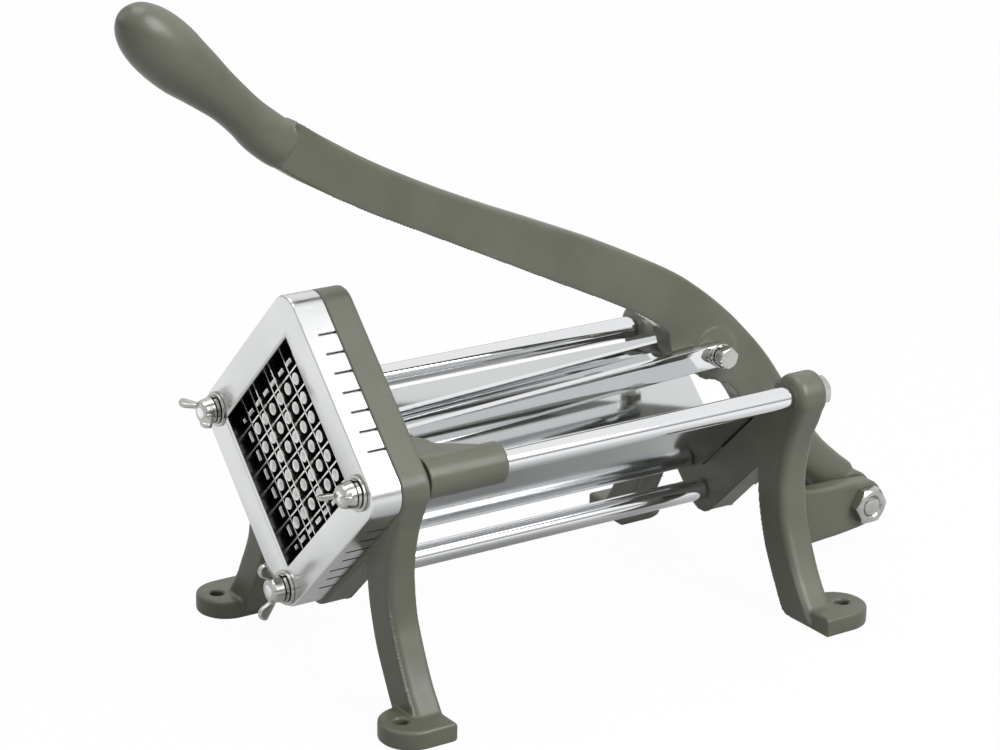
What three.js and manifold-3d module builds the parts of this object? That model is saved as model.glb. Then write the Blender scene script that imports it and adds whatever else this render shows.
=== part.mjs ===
// French fry cutter for a bench top.
// Two cast frames stand on four bolt-down feet and are tied together by three rods.
// A lever at the back pulls a pusher along the two side rods, inside a folded sheet trough,
// and the pusher's pins press the potato through a square grid of crossed blades at the front.
// Units are millimetres. X runs across, Y runs from the blade face to the back, Z is up.
// While the pieces are drawn, y = 0 is the front face of the blade block and z = 0 the bench.

import * as THREE from 'three';
import { mergeVertices } from 'three/addons/utils/BufferGeometryUtils.js';
import Module from 'manifold-3d';

const wasm = await Module();
wasm.setup();

// Clearances
const FIT_GAP = 0.3;
const SEAT_GAP = 0.1;
const CUT_OVERRUN = 2;

// Blade block and blades
const BLOCK_SIDE = 108.9;
const BLOCK_THICKNESS = 15.3;
const BLOCK_CENTRE_HEIGHT = 107.1;
const BLOCK_CORNER_RADIUS = 11.5;
const BLOCK_EDGE = 0.8;
const FRY_SIZE = 9.525;
const CELLS = 8;
const BLADE_THICKNESS = 0.8;
const BLADE_WIDTH = 9;
const BLADE_END_INSET = 1.6;
const BLADE_STAGGER = 2.4;

// Tie rods
const ROD_DIAMETER = 10.7;
const SIDE_ROD_SPREAD = 61;
const SIDE_ROD_RISE = 1.9;
const BOTTOM_ROD_GAP = 6.5726;
const STUD_DIAMETER = 7.8;
const STUD_REACH = 9.3;
const ROD_CHAMFER = 0.8;
const TAPPED_DEPTH = 16;

// Cast frames and feet
const FRONT_FRAME_THICKNESS = 14.2;
const REAR_FRAME_PLACE = 232.4;
const REAR_FRAME_THICKNESS = 15;
const CASTING_EDGE = 0.8;
const SOFT_EDGE = 2.6;
const CLEVIS_EDGE = 1.6;
const LOWER_BOSS_RADIUS = 11.2;
const SIDE_CORNER_RADIUS = 11.3;
const REAR_BOSS_RADIUS = 10.8;
const FRONT_LEG_SPREAD = 81.3;
const REAR_LEG_SPREAD = 80.2;
const LEG_BASE_HEIGHT = 2;
const FOOT_SPREAD = 81.3;
const FOOT_RADIUS = 14.4;
const FOOT_THICKNESS = 9;
const FOOT_EDGE = 1.2;
const FOOT_HOLE_DIAMETER = 6.5;
const FRONT_FOOT_NOSE_CENTRE = 14.5;
const FRONT_FOOT_HOLE_PLACE = 9.5;
const REAR_FOOT_SETBACK = 2.2;
const REAR_FOOT_NOSE = 19.2;
const REAR_FOOT_HOLE = 22.3;

// Potato trough
const TROUGH_HALF_WIDTH = 36.4;
const TROUGH_SHEET = 1.2;
const TROUGH_BEND_RADIUS = 2;
const TROUGH_EDGE_SPREAD = 50;

// Pusher
const PIN_TIP_PLACE = 5.2;
const PIN_TIP_DIAMETER = 5.8;
const PIN_ROOT_DIAMETER = 6.8;
const RIM_PIN_THICKNESS = 2.2;
const RIM_PIN_LENGTH = 5.3;
const RIM_PIN_REACH = 33.2;
const PUSHER_SIDE = 69.4;
const PUSHER_CORNER_RADIUS = 2.5;
const PUSHER_FRONT_PLACE = 30;
const PIN_PLATE_THICKNESS = 5;
const CARRIER_PLATE_THICKNESS = 6.2;
const SLEEVE_RADIUS = 9.4;
const SLEEVE_FRONT_PLACE = 31;
const SLEEVE_LENGTH = 40.3;
const WEB_HEIGHT_ABOVE_ROD = 6;
const WEB_THICKNESS = 8.2;
const PIN_PLATE_SCREW_SPREAD = 24;
const PIN_PLATE_SCREW_DIAMETER = 5;

// Links between the pusher and the lever
const LINK_INNER_PLACE = 8;
const LINK_THICKNESS = 4;
const LINK_HEIGHT = 11.5;
const LINK_FRONT_PLACE = 52.5;
const LINK_FRONT_DROP = 0.9;
const LINK_REAR_REACH = 89.3;
const LINK_REAR_HEIGHT = 115.5;
const LINK_BOLT_DIAMETER = 6;
const LINK_BOLT_FLATS = 10;
const LINK_BOLT_HEAD = 3.8;
const FRONT_PIVOT_HEAD = 3.4;

// Lever and its pivot
const PIVOT_SETBACK = 72.9;
const PIVOT_HEIGHT = 24.6;
const LEVER_REACH = 396.3;
const LEVER_RISE = 289.6;
const LEVER_THICKNESS = 13.5;
const LEVER_EDGE = 2.6;
const GRIP_DIAMETER = 28;
const LINK_BOSS_RADIUS = 12.8;
const EYE_RADIUS = 13.2;
const EYE_WIDTH = 19.4;
const CLEVIS_OUTER_SPREAD = 20;
const CLEVIS_END_RADIUS = 11.6;
const PIVOT_BOLT_DIAMETER = 9.8;
const PIVOT_BOLT_FLATS = 17;
const PIVOT_HEAD = 6.2;
const PIVOT_NUT = 5.8;

// Fasteners of the tie rods
const WASHER_DIAMETER = 16;
const WASHER_THICKNESS = 1.4;
const LOCK_WASHER_DIAMETER = 13.6;
const LOCK_WASHER_THICKNESS = 1.8;
const LOCK_WASHER_SLIT = 1.2;
const WING_HUB_DIAMETER = 12.6;
const WING_HUB_HEIGHT = 4.6;
const WING_SPAN = 27;
const WING_THICKNESS = 2.4;
const WING_LOBE_RADIUS = 3.4;
const REAR_BOLT_FLATS = 13;
const REAR_BOLT_HEAD = 5.8;

// Facet counts
const ROUND_SIDES = 32;
const SMALL_ROUND_SIDES = 20;
const PIN_SIDES = 10;
const LEVER_SIDES = 24;
const EDGE_STEPS = 1;
const LEVER_EDGE_STEPS = 2;
const ARC_STEPS = 5;
const CURVE_STEPS = 12;

// Finishes
const castEnamel = new THREE.MeshStandardMaterial({ color: 0x696c60, roughness: 0.45, metalness: 0.1 });
const machinedAluminium = new THREE.MeshStandardMaterial({ color: 0xd4d7d6, roughness: 0.3, metalness: 0.9 });
const polishedSteel = new THREE.MeshStandardMaterial({ color: 0xdadcde, roughness: 0.08, metalness: 1 });
const bladeSteel = new THREE.MeshStandardMaterial({ color: 0xc9cac8, roughness: 0.25, metalness: 1 });
const zincPlate = new THREE.MeshStandardMaterial({ color: 0xb9b8b0, roughness: 0.32, metalness: 0.9 });

// Places worked out from the sizes above
const DIAGONAL = Math.SQRT2;
const HALF_DIAGONAL = BLOCK_SIDE / DIAGONAL;
const OPENING_HALF = FRY_SIZE * CELLS / 2;
const TROUGH_FOLD_HEIGHT = BLOCK_CENTRE_HEIGHT - TROUGH_HALF_WIDTH * DIAGONAL;
const SIDE_ROD_HEIGHT = BLOCK_CENTRE_HEIGHT + SIDE_ROD_RISE;
const BOTTOM_ROD_HEIGHT = TROUGH_FOLD_HEIGHT - BOTTOM_ROD_GAP - ROD_DIAMETER / 2;
const LINK_FRONT_HEIGHT = BLOCK_CENTRE_HEIGHT - LINK_FRONT_DROP;
const BLADE_FRONT = BLOCK_THICKNESS - BLADE_WIDTH - SEAT_GAP;
const FRONT_FRAME_FRONT = BLOCK_THICKNESS;
const FRONT_FRAME_BACK = FRONT_FRAME_FRONT + FRONT_FRAME_THICKNESS;
const REAR_FRAME_BACK = REAR_FRAME_PLACE + REAR_FRAME_THICKNESS;
const REAR_FOOT_FRONT = REAR_FRAME_PLACE + REAR_FOOT_SETBACK;
const REAR_FOOT_NOSE_CENTRE = REAR_FRAME_PLACE + REAR_FOOT_NOSE;
const REAR_FOOT_HOLE_PLACE = REAR_FRAME_PLACE + REAR_FOOT_HOLE;
const PIVOT_PLACE = REAR_FRAME_BACK + PIVOT_SETBACK;
const LINK_REAR_PLACE = PIVOT_PLACE - LINK_REAR_REACH;
const LINK_OUTER_PLACE = LINK_INNER_PLACE + LINK_THICKNESS;
const CARRIER_FRONT = PUSHER_FRONT_PLACE + PIN_PLATE_THICKNESS + SEAT_GAP;
const CARRIER_BACK = CARRIER_FRONT + CARRIER_PLATE_THICKNESS;
const STUD_HOLE_RADIUS = STUD_DIAMETER / 2 + FIT_GAP;
const CLEVIS_INNER_SPREAD = EYE_WIDTH / 2 + FIT_GAP;
const LEFT_AND_RIGHT = [-1, 1];

const sideRodCentre = (side) => [side * SIDE_ROD_SPREAD, SIDE_ROD_HEIGHT];
const bottomRodCentre = [0, BOTTOM_ROD_HEIGHT];

// Shared shape tools

// Closed geometry whose triangles already share their corners
function solidOfShared(geometry) {
  return new wasm.Manifold(new wasm.Mesh({
    numProp: 3,
    vertProperties: new Float32Array(geometry.attributes.position.array),
    triVerts: new Uint32Array(geometry.index.array),
  }));
}

function solidOf(geometry) {
  const bare = geometry.clone();
  bare.deleteAttribute('normal');
  bare.deleteAttribute('uv');
  return solidOfShared(mergeVertices(bare, 1e-4));
}

function geometryOf(solid) {
  const mesh = solid.getMesh();
  const geometry = new THREE.BufferGeometry();
  geometry.setAttribute('position', new THREE.BufferAttribute(mesh.vertProperties, 3));
  geometry.setIndex(new THREE.BufferAttribute(mesh.triVerts, 1));
  geometry.computeVertexNormals();
  return geometry;
}

function joined(first, ...others) {
  return others.reduce((whole, next) => whole.add(next), first);
}

function arc(centreA, centreB, radius, fromDegrees, toDegrees, steps = ARC_STEPS) {
  const points = [];
  for (let i = 0; i <= steps; i += 1) {
    const angle = THREE.MathUtils.degToRad(fromDegrees + (toDegrees - fromDegrees) * i / steps);
    points.push([centreA + radius * Math.cos(angle), centreB + radius * Math.sin(angle)]);
  }
  return points;
}

function smoothCurve(points, steps = CURVE_STEPS) {
  const curve = new THREE.SplineCurve(points.map(([a, b]) => new THREE.Vector2(a, b)));
  return curve.getPoints(steps).map((point) => [point.x, point.y]);
}

function mirroredOutline(rightHalf) {
  const leftHalf = rightHalf.map(([x, z]) => [-x, z]).reverse();
  const onAxis = ([x]) => Math.abs(x) < SEAT_GAP;
  return [...rightHalf, ...leftHalf.filter((point) => !onAxis(point))];
}

// The mitred outward direction at each corner, held back at corners sharper than a right angle
function cornerDirections(points) {
  return points.map(([a, b], i) => {
    const [beforeA, beforeB] = points[(i + points.length - 1) % points.length];
    const [afterA, afterB] = points[(i + 1) % points.length];
    const arriving = new THREE.Vector2(b - beforeB, beforeA - a).normalize();
    const leaving = new THREE.Vector2(afterB - b, a - afterA).normalize();
    const both = arriving.add(leaving);
    return both.multiplyScalar(2 / both.lengthSq()).clampLength(0, DIAGONAL);
  });
}

// An outline carried along Z from zero, with both rims rounded off by an edge
function extruded(outline, length, edge, steps = EDGE_STEPS) {
  const area = THREE.ShapeUtils.area(outline.map(([a, b]) => new THREE.Vector2(a, b)));
  const points = area < 0 ? outline.slice().reverse() : outline;
  const directions = cornerDirections(points);
  const rims = [];
  for (let i = 0; i < steps && edge > 0; i += 1) {
    const angle = Math.PI / 2 * i / steps;
    rims.push([edge * (1 - Math.sin(angle)), edge * (1 - Math.cos(angle))]);
  }
  rims.push([0, edge]);
  const farRims = rims.slice().reverse().map(([inset, advance]) => [inset, length - advance]);
  const levels = [...rims, ...farRims];
  const positions = levels.flatMap(([inset, place]) => points.flatMap(([a, b], i) => (
    [a - inset * directions[i].x, b - inset * directions[i].y, place]
  )));
  const count = points.length;
  const indices = [];
  for (let level = 0; level + 1 < levels.length; level += 1) {
    for (let i = 0; i < count; i += 1) {
      const here = level * count + i;
      const next = level * count + (i + 1) % count;
      indices.push(here, next, here + count, next, next + count, here + count);
    }
  }
  const top = (levels.length - 1) * count;
  for (const [a, b, c] of wasm.triangulate([points])) {
    indices.push(c, b, a, a + top, b + top, c + top);
  }
  const geometry = new THREE.BufferGeometry();
  geometry.setAttribute('position', new THREE.BufferAttribute(new Float32Array(positions), 3));
  geometry.setIndex(indices);
  return geometry;
}

// An (x, z) outline carried along Y
function alongY(points, front, back, edge = 0) {
  const geometry = extruded(points, back - front, edge);
  geometry.rotateX(Math.PI / 2);
  geometry.translate(0, back, 0);
  return solidOfShared(geometry);
}

// A (y, z) outline carried along X
function alongX(points, from, to, edge = 0, steps = EDGE_STEPS) {
  const geometry = extruded(points, to - from, edge, steps);
  const basis = new THREE.Matrix4().makeBasis(
    new THREE.Vector3(0, 1, 0),
    new THREE.Vector3(0, 0, 1),
    new THREE.Vector3(1, 0, 0),
  );
  geometry.applyMatrix4(basis);
  geometry.translate(from, 0, 0);
  return solidOfShared(geometry);
}

// An (x, y) outline carried along Z
function alongZ(points, bottom, top, edge = 0) {
  const geometry = extruded(points, top - bottom, edge);
  geometry.translate(0, 0, bottom);
  return solidOfShared(geometry);
}

function rodAlongY([x, z], radius, front, back, sides = ROUND_SIDES) {
  const geometry = new THREE.CylinderGeometry(radius, radius, back - front, sides);
  geometry.translate(x, (front + back) / 2, z);
  return solidOf(geometry);
}

function rodAlongX([y, z], radius, from, to, sides = ROUND_SIDES) {
  const geometry = new THREE.CylinderGeometry(radius, radius, to - from, sides);
  geometry.rotateZ(Math.PI / 2);
  geometry.translate((from + to) / 2, y, z);
  return solidOf(geometry);
}

function rodAlongZ([x, y], radius, bottom, top, sides = SMALL_ROUND_SIDES) {
  const geometry = new THREE.CylinderGeometry(radius, radius, top - bottom, sides);
  geometry.rotateX(Math.PI / 2);
  geometry.translate(x, y, (bottom + top) / 2);
  return solidOf(geometry);
}

// A profile of [radius, y] points turned about a Y axis through (x, z)
function turnedAlongY([x, z], profile, sides = ROUND_SIDES) {
  const points = profile.map(([radius, y]) => new THREE.Vector2(radius, y));
  const geometry = new THREE.LatheGeometry(points, sides);
  geometry.translate(x, 0, z);
  return solidOf(geometry);
}

// A profile of [radius, x] points turned about an X axis through (y, z)
function turnedAlongX([y, z], profile, sides = ROUND_SIDES) {
  const points = profile.map(([radius, x]) => new THREE.Vector2(radius, x));
  const geometry = new THREE.LatheGeometry(points, sides);
  geometry.rotateZ(-Math.PI / 2);
  geometry.translate(0, y, z);
  return solidOf(geometry);
}

function hexagon(a, b, flats, turnDegrees = 0) {
  return arc(a, b, flats / Math.sqrt(3), turnDegrees, turnDegrees + 300, 5);
}

// A disc whose rim is chamfered on its outer face, to cut the corners of a hexagon
function chamferProfile(flats, seat, face) {
  const corner = flats / Math.sqrt(3) + CUT_OVERRUN;
  const chamfer = (corner - flats / 2) / DIAGONAL;
  const inward = Math.sign(seat - face);
  const profile = [[0, seat], [corner, seat], [corner, face + inward * chamfer], [flats / 2, face], [0, face]];
  return seat < face ? profile : profile.reverse();
}

function place(name, solid, material) {
  const mesh = new THREE.Mesh(geometryOf(solid), material);
  mesh.name = name;
  return mesh;
}

// Front and rear castings

const legOuterShares = [
  [0.84, 0.882], [0.795, 0.808], [0.76, 0.7], [0.749, 0.587], [0.777, 0.44],
  [0.841, 0.318], [0.926, 0.19], [1.02, 0.088], [1.06, 0.04],
];
const legInnerShares = [
  [0.83, 0.018], [0.784, 0.066], [0.7, 0.178], [0.625, 0.29], [0.563, 0.432],
  [0.533, 0.551], [0.522, 0.637],
];

function legCurve(shares, spread) {
  return smoothCurve(shares.map(([across, up]) => [across * spread, up * SIDE_ROD_HEIGHT]));
}

// A frame's plate: the right half's top and side, its leg and its underside, mirrored.
// The legs' outer front edge is rounded off more than the other edges.
function framePlate(topAndSide, topMiddle, spread, front, back) {
  const outer = legCurve(legOuterShares, spread);
  const inner = legCurve(legInnerShares, spread);
  const [footEnd] = outer[outer.length - 1];
  const underside = [[footEnd, LEG_BASE_HEIGHT], ...inner, ...lowerSideStart()];
  const plate = alongY(mirroredOutline([...topAndSide, ...outer, ...underside]), front, back, CASTING_EDGE);
  const belowBench = [[footEnd, -FOOT_THICKNESS], [0, -FOOT_THICKNESS]];
  const filled = mirroredOutline([topMiddle, ...topAndSide.slice(1), ...outer, ...belowBench]);
  return [plate, alongY(filled, front, back + SOFT_EDGE, SOFT_EDGE)];
}

function footSolid(side, noseCentre, flatPlace, holePlace) {
  const noseFirst = Math.sign(flatPlace - noseCentre);
  const x = side * FOOT_SPREAD;
  const nose = arc(x, noseCentre, FOOT_RADIUS, 0, -180 * noseFirst, 2 * ARC_STEPS);
  const outline = [...nose, [x - FOOT_RADIUS, flatPlace], [x + FOOT_RADIUS, flatPlace]];
  const pad = alongZ(outline, 0, FOOT_THICKNESS, FOOT_EDGE);
  const hole = rodAlongZ([x, holePlace], FOOT_HOLE_DIAMETER / 2, -CUT_OVERRUN, FOOT_THICKNESS + CUT_OVERRUN);
  return pad.subtract(hole);
}

function lowerSideStart() {
  return arc(0, BOTTOM_ROD_HEIGHT, LOWER_BOSS_RADIUS, -45, -90);
}

function roundedDiamond(halfSide, radius) {
  const reach = (halfSide - radius) * DIAGONAL;
  const corners = [[reach, 0, -45], [0, reach, 45], [-reach, 0, 135], [0, -reach, 225]];
  return corners.flatMap(([x, z, from]) => arc(x, BLOCK_CENTRE_HEIGHT + z, radius, from, from + 90));
}

function diamondOpening(half) {
  const reach = half * DIAGONAL;
  const centre = BLOCK_CENTRE_HEIGHT;
  return [[0, centre - reach], [reach, centre], [0, centre + reach], [-reach, centre]];
}

function frontFrame() {
  const cornerInset = SIDE_CORNER_RADIUS * DIAGONAL;
  const topAndSide = [
    ...arc(0, BLOCK_CENTRE_HEIGHT + HALF_DIAGONAL - cornerInset, SIDE_CORNER_RADIUS, 90, 45),
    ...arc(HALF_DIAGONAL - cornerInset, BLOCK_CENTRE_HEIGHT, SIDE_CORNER_RADIUS, 45, -30),
  ];
  const [plate, softened] = framePlate(
    topAndSide, topAndSide[0], FRONT_LEG_SPREAD, FRONT_FRAME_FRONT, FRONT_FRAME_BACK,
  );
  const behindBlock = alongY(
    roundedDiamond(BLOCK_SIDE / 2, BLOCK_CORNER_RADIUS),
    FRONT_FRAME_FRONT - CUT_OVERRUN, FRONT_FRAME_BACK + CUT_OVERRUN,
  );
  let frame = plate.intersect(softened.add(behindBlock));
  const half = TROUGH_HALF_WIDTH + FIT_GAP;
  for (const side of LEFT_AND_RIGHT) {
    const foot = footSolid(side, FRONT_FOOT_NOSE_CENTRE, FRONT_FRAME_BACK, FRONT_FOOT_HOLE_PLACE);
    frame = frame.add(foot);
  }
  const cutFront = FRONT_FRAME_FRONT - CUT_OVERRUN;
  const cutBack = FRONT_FRAME_BACK + CUT_OVERRUN;
  frame = frame.subtract(alongY(diamondOpening(half), cutFront, cutBack));
  for (const centre of [sideRodCentre(-1), sideRodCentre(1), bottomRodCentre]) {
    frame = frame.subtract(rodAlongY(centre, STUD_HOLE_RADIUS, cutFront, cutBack));
  }
  return frame;
}

// Side view of the clevis arms, in shares of the way from the rear frame to the pivot
// and of the pivot's height; the right arm's lower part reaches further forward
const clevisTopShares = [
  [-0.03, 2.5], [0.183, 2.48], [0.318, 2.11], [0.434, 1.68], [0.531, 1.537], [0.8, 1.504],
];
const clevisUndersideShares = [[1.02, 0.5], [0.94, 0.463], [0.783, 0.415]];
const clevisForwardShares = {
  right: [[0.497, 0.366], [0.487, 1.045], [0.434, 1.374]],
  left: [[0.613, 0.358], [0.609, 1.126], [0.483, 1.374]],
};
const clevisRootShares = [[0.318, 1.78], [0.163, 2.1], [-0.03, 2.17]];

function clevisArm(side) {
  const reach = PIVOT_PLACE - REAR_FRAME_BACK;
  const fromShares = ([along, up]) => [REAR_FRAME_BACK + along * reach, up * PIVOT_HEIGHT];
  const top = smoothCurve(clevisTopShares.map(fromShares));
  const forward = side > 0 ? clevisForwardShares.right : clevisForwardShares.left;
  const bottom = [...clevisUndersideShares, ...forward, ...clevisRootShares].map(fromShares);
  const end = arc(PIVOT_PLACE, PIVOT_HEIGHT, CLEVIS_END_RADIUS, 75, -50, 2 * ARC_STEPS);
  const outline = [...top, ...end, ...bottom];
  const faces = [side * CLEVIS_INNER_SPREAD, side * CLEVIS_OUTER_SPREAD].sort((a, b) => a - b);
  return alongX(outline, faces[0], faces[1], CLEVIS_EDGE);
}

function rearFrame() {
  const openingOffset = BLOCK_CENTRE_HEIGHT - (TROUGH_HALF_WIDTH + FIT_GAP) * DIAGONAL;
  const bossToOpening = (SIDE_ROD_SPREAD + openingOffset - SIDE_ROD_HEIGHT) / DIAGONAL;
  const bossTurn = THREE.MathUtils.radToDeg(Math.acos(bossToOpening / REAR_BOSS_RADIUS));
  const topAndSide = [
    [0, openingOffset],
    ...arc(SIDE_ROD_SPREAD, SIDE_ROD_HEIGHT, REAR_BOSS_RADIUS, 135 + bossTurn, -35, 3 * ARC_STEPS),
  ];
  const [plate, softened] = framePlate(
    topAndSide, [0, SIDE_ROD_HEIGHT], REAR_LEG_SPREAD, REAR_FRAME_PLACE, REAR_FRAME_BACK,
  );
  let frame = plate.intersect(softened);
  for (const side of LEFT_AND_RIGHT) {
    const foot = footSolid(side, REAR_FOOT_NOSE_CENTRE, REAR_FOOT_FRONT, REAR_FOOT_HOLE_PLACE);
    frame = joined(frame, foot, clevisArm(side));
  }
  const cutFront = REAR_FRAME_PLACE - CUT_OVERRUN;
  const cutBack = REAR_FRAME_BACK + CUT_OVERRUN;
  for (const centre of [sideRodCentre(-1), sideRodCentre(1), bottomRodCentre]) {
    frame = frame.subtract(rodAlongY(centre, STUD_HOLE_RADIUS, cutFront, cutBack));
  }
  const pivotHole = rodAlongX(
    [PIVOT_PLACE, PIVOT_HEIGHT],
    PIVOT_BOLT_DIAMETER / 2 + FIT_GAP,
    -CLEVIS_OUTER_SPREAD - CUT_OVERRUN,
    CLEVIS_OUTER_SPREAD + CUT_OVERRUN,
  );
  return frame.subtract(pivotHole);
}

// Blade block: a square plate standing on its corner, slotted from the back for the blades

function bladeDirection(slope) {
  return new THREE.Vector3(slope / DIAGONAL, 0, 1 / DIAGONAL);
}

// Two of the falling blades stand further forward than the rest, so that they cut first
function bladeFront(slope, index) {
  const forward = slope < 0 && Math.abs(index - CELLS / 2) === 1;
  return forward ? BLADE_FRONT - BLADE_STAGGER : BLADE_FRONT;
}

function bladeBlock() {
  const outline = roundedDiamond(BLOCK_SIDE / 2, BLOCK_CORNER_RADIUS);
  let block = alongY(outline, 0, BLOCK_THICKNESS - SEAT_GAP, BLOCK_EDGE);
  block = block.subtract(alongY(diamondOpening(OPENING_HALF), -CUT_OVERRUN, BLOCK_THICKNESS + CUT_OVERRUN));
  const slotWidth = BLADE_THICKNESS + 2 * FIT_GAP;
  for (const slope of LEFT_AND_RIGHT) {
    for (let i = 1; i < CELLS; i += 1) {
      const slotFront = bladeFront(slope, i) - SEAT_GAP;
      const slotDepth = BLOCK_THICKNESS + CUT_OVERRUN - slotFront;
      const offset = (i - CELLS / 2) * FRY_SIZE;
      const slot = new THREE.BoxGeometry(slotWidth, slotDepth, BLOCK_SIDE + 2 * CUT_OVERRUN);
      slot.translate(offset, slotFront + slotDepth / 2, 0);
      slot.rotateY(slope * Math.PI / 4);
      slot.translate(0, 0, BLOCK_CENTRE_HEIGHT);
      block = block.subtract(solidOf(slot));
    }
  }
  for (const hole of [sideRodCentre(-1), sideRodCentre(1), bottomRodCentre]) {
    block = block.subtract(rodAlongY(hole, STUD_HOLE_RADIUS, -CUT_OVERRUN, BLOCK_THICKNESS + CUT_OVERRUN));
  }
  return block;
}

// One blade: a strip with a half-depth notch wherever it crosses a blade of the other set
function blade(slope, index) {
  const halfLength = BLOCK_SIDE / 2 - BLADE_END_INSET;
  const front = bladeFront(slope, index);
  const back = front + BLADE_WIDTH;
  const middle = BLADE_FRONT + BLADE_WIDTH / 2;
  const notchHalf = BLADE_THICKNESS / 2 + FIT_GAP;
  const notchedFront = slope > 0;
  const notchFloor = notchedFront ? middle + SEAT_GAP : middle - SEAT_GAP;
  const notchedSide = notchedFront ? front : back;
  const plainSide = notchedFront ? back : front;
  const points = [[-halfLength, notchedSide]];
  for (let i = 1; i < CELLS; i += 1) {
    const crossing = (i - CELLS / 2) * FRY_SIZE;
    points.push([crossing - notchHalf, notchedSide], [crossing - notchHalf, notchFloor]);
    points.push([crossing + notchHalf, notchFloor], [crossing + notchHalf, notchedSide]);
  }
  points.push([halfLength, notchedSide], [halfLength, plainSide], [-halfLength, plainSide]);
  const geometry = extruded(points, BLADE_THICKNESS, 0);
  geometry.translate(0, 0, -BLADE_THICKNESS / 2);
  const along = bladeDirection(slope);
  const up = new THREE.Vector3(0, 1, 0);
  const across = along.clone().cross(up);
  geometry.applyMatrix4(new THREE.Matrix4().makeBasis(along, up, across));
  const offset = (index - CELLS / 2) * FRY_SIZE;
  geometry.translate(across.x * offset, 0, BLOCK_CENTRE_HEIGHT + across.z * offset);
  return solidOfShared(geometry);
}

// Tie rods: a plain bar, turned down to a stud at the front and tapped at the back

function tieRod(centre) {
  const front = FRONT_FRAME_BACK + SEAT_GAP;
  const back = REAR_FRAME_PLACE - SEAT_GAP;
  const radius = ROD_DIAMETER / 2;
  const stud = STUD_DIAMETER / 2;
  const bore = stud + FIT_GAP;
  return turnedAlongY(centre, [
    [0, -STUD_REACH],
    [stud - ROD_CHAMFER, -STUD_REACH],
    [stud, -STUD_REACH + ROD_CHAMFER],
    [stud, front],
    [radius - ROD_CHAMFER, front],
    [radius, front + ROD_CHAMFER],
    [radius, back - ROD_CHAMFER],
    [radius - ROD_CHAMFER, back],
    [bore, back],
    [bore, back - TAPPED_DEPTH],
    [0, back - TAPPED_DEPTH],
  ]);
}

function rearBolt(centre) {
  const seat = REAR_FRAME_BACK + SEAT_GAP;
  const face = seat + REAR_BOLT_HEAD;
  const tip = REAR_FRAME_PLACE - TAPPED_DEPTH + CUT_OVERRUN;
  const [x, z] = centre;
  const head = alongY(hexagon(x, z, REAR_BOLT_FLATS), seat, face)
    .intersect(turnedAlongY(centre, chamferProfile(REAR_BOLT_FLATS, seat, face)));
  const shank = rodAlongY(centre, STUD_DIAMETER / 2, tip, seat + REAR_BOLT_HEAD / 2, SMALL_ROUND_SIDES);
  return head.add(shank);
}

// Washers and wing nuts on the front studs, from the block's face outward

const WASHER_BACK = -SEAT_GAP;
const LOCK_WASHER_BACK = WASHER_BACK - WASHER_THICKNESS - SEAT_GAP;
const WING_NUT_BACK = LOCK_WASHER_BACK - LOCK_WASHER_THICKNESS - SEAT_GAP;

function ringAlongY(centre, outer, inner, front, back, sides = SMALL_ROUND_SIDES) {
  return turnedAlongY(centre, [[inner, front], [outer, front], [outer, back], [inner, back], [inner, front]], sides);
}

function frontWasher(centre) {
  return ringAlongY(centre, WASHER_DIAMETER / 2, STUD_HOLE_RADIUS, WASHER_BACK - WASHER_THICKNESS, WASHER_BACK);
}

function frontLockWasher(centre) {
  const [x, z] = centre;
  const front = LOCK_WASHER_BACK - LOCK_WASHER_THICKNESS;
  const ring = ringAlongY(centre, LOCK_WASHER_DIAMETER / 2, STUD_HOLE_RADIUS, front, LOCK_WASHER_BACK);
  const slit = new THREE.BoxGeometry(LOCK_WASHER_SLIT, WASHER_DIAMETER, WASHER_DIAMETER);
  slit.translate(x, LOCK_WASHER_BACK, z + WASHER_DIAMETER / 2);
  return ring.subtract(solidOf(slit));
}

// One wing: a leaf that leans forward from the hub, drawn in (radius, y) and swung about the stud
const wingShares = [[0.3, 0.62], [0.5, 0.5], [0.72, 0.1]];

function wingNut([x, z], turnDegrees) {
  const hubBack = WING_NUT_BACK;
  const hubFront = hubBack - WING_HUB_HEIGHT;
  const hubRadius = WING_HUB_DIAMETER / 2;
  const hub = turnedAlongY([0, 0], [
    [0, hubFront],
    [hubRadius - ROD_CHAMFER, hubFront],
    [hubRadius, hubBack - ROD_CHAMFER],
    [hubRadius, hubBack],
    [0, hubBack],
  ], SMALL_ROUND_SIDES);
  const reach = WING_SPAN / 2 - WING_LOBE_RADIUS;
  const lobeCentre = hubFront - WING_LOBE_RADIUS * WING_LEAN_SHARE;
  const rear = wingShares.map(([out, forward]) => [out * WING_SPAN / 2, hubFront + forward * WING_HUB_HEIGHT]);
  const lobe = arc(reach, lobeCentre, WING_LOBE_RADIUS, 10, -150, 2 * ARC_STEPS);
  const inner = [[hubRadius - ROD_CHAMFER * 2, hubFront + ROD_CHAMFER]];
  const leaf = [...rear, ...lobe, ...inner];
  let nut = hub;
  for (const side of LEFT_AND_RIGHT) {
    const geometry = extruded(leaf, WING_THICKNESS, 0);
    geometry.translate(0, 0, -WING_THICKNESS / 2);
    geometry.rotateY(side > 0 ? 0 : Math.PI);
    nut = nut.add(solidOfShared(geometry));
  }
  nut = nut.subtract(rodAlongY([0, 0], STUD_HOLE_RADIUS, hubFront - WING_SPAN, hubBack + CUT_OVERRUN));
  return nut.rotate([0, turnDegrees, 0]).translate([x, 0, z]);
}

const WING_LEAN_SHARE = 0.75;

// Trough: one sheet folded to a square V that carries the potato to the blades

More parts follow.
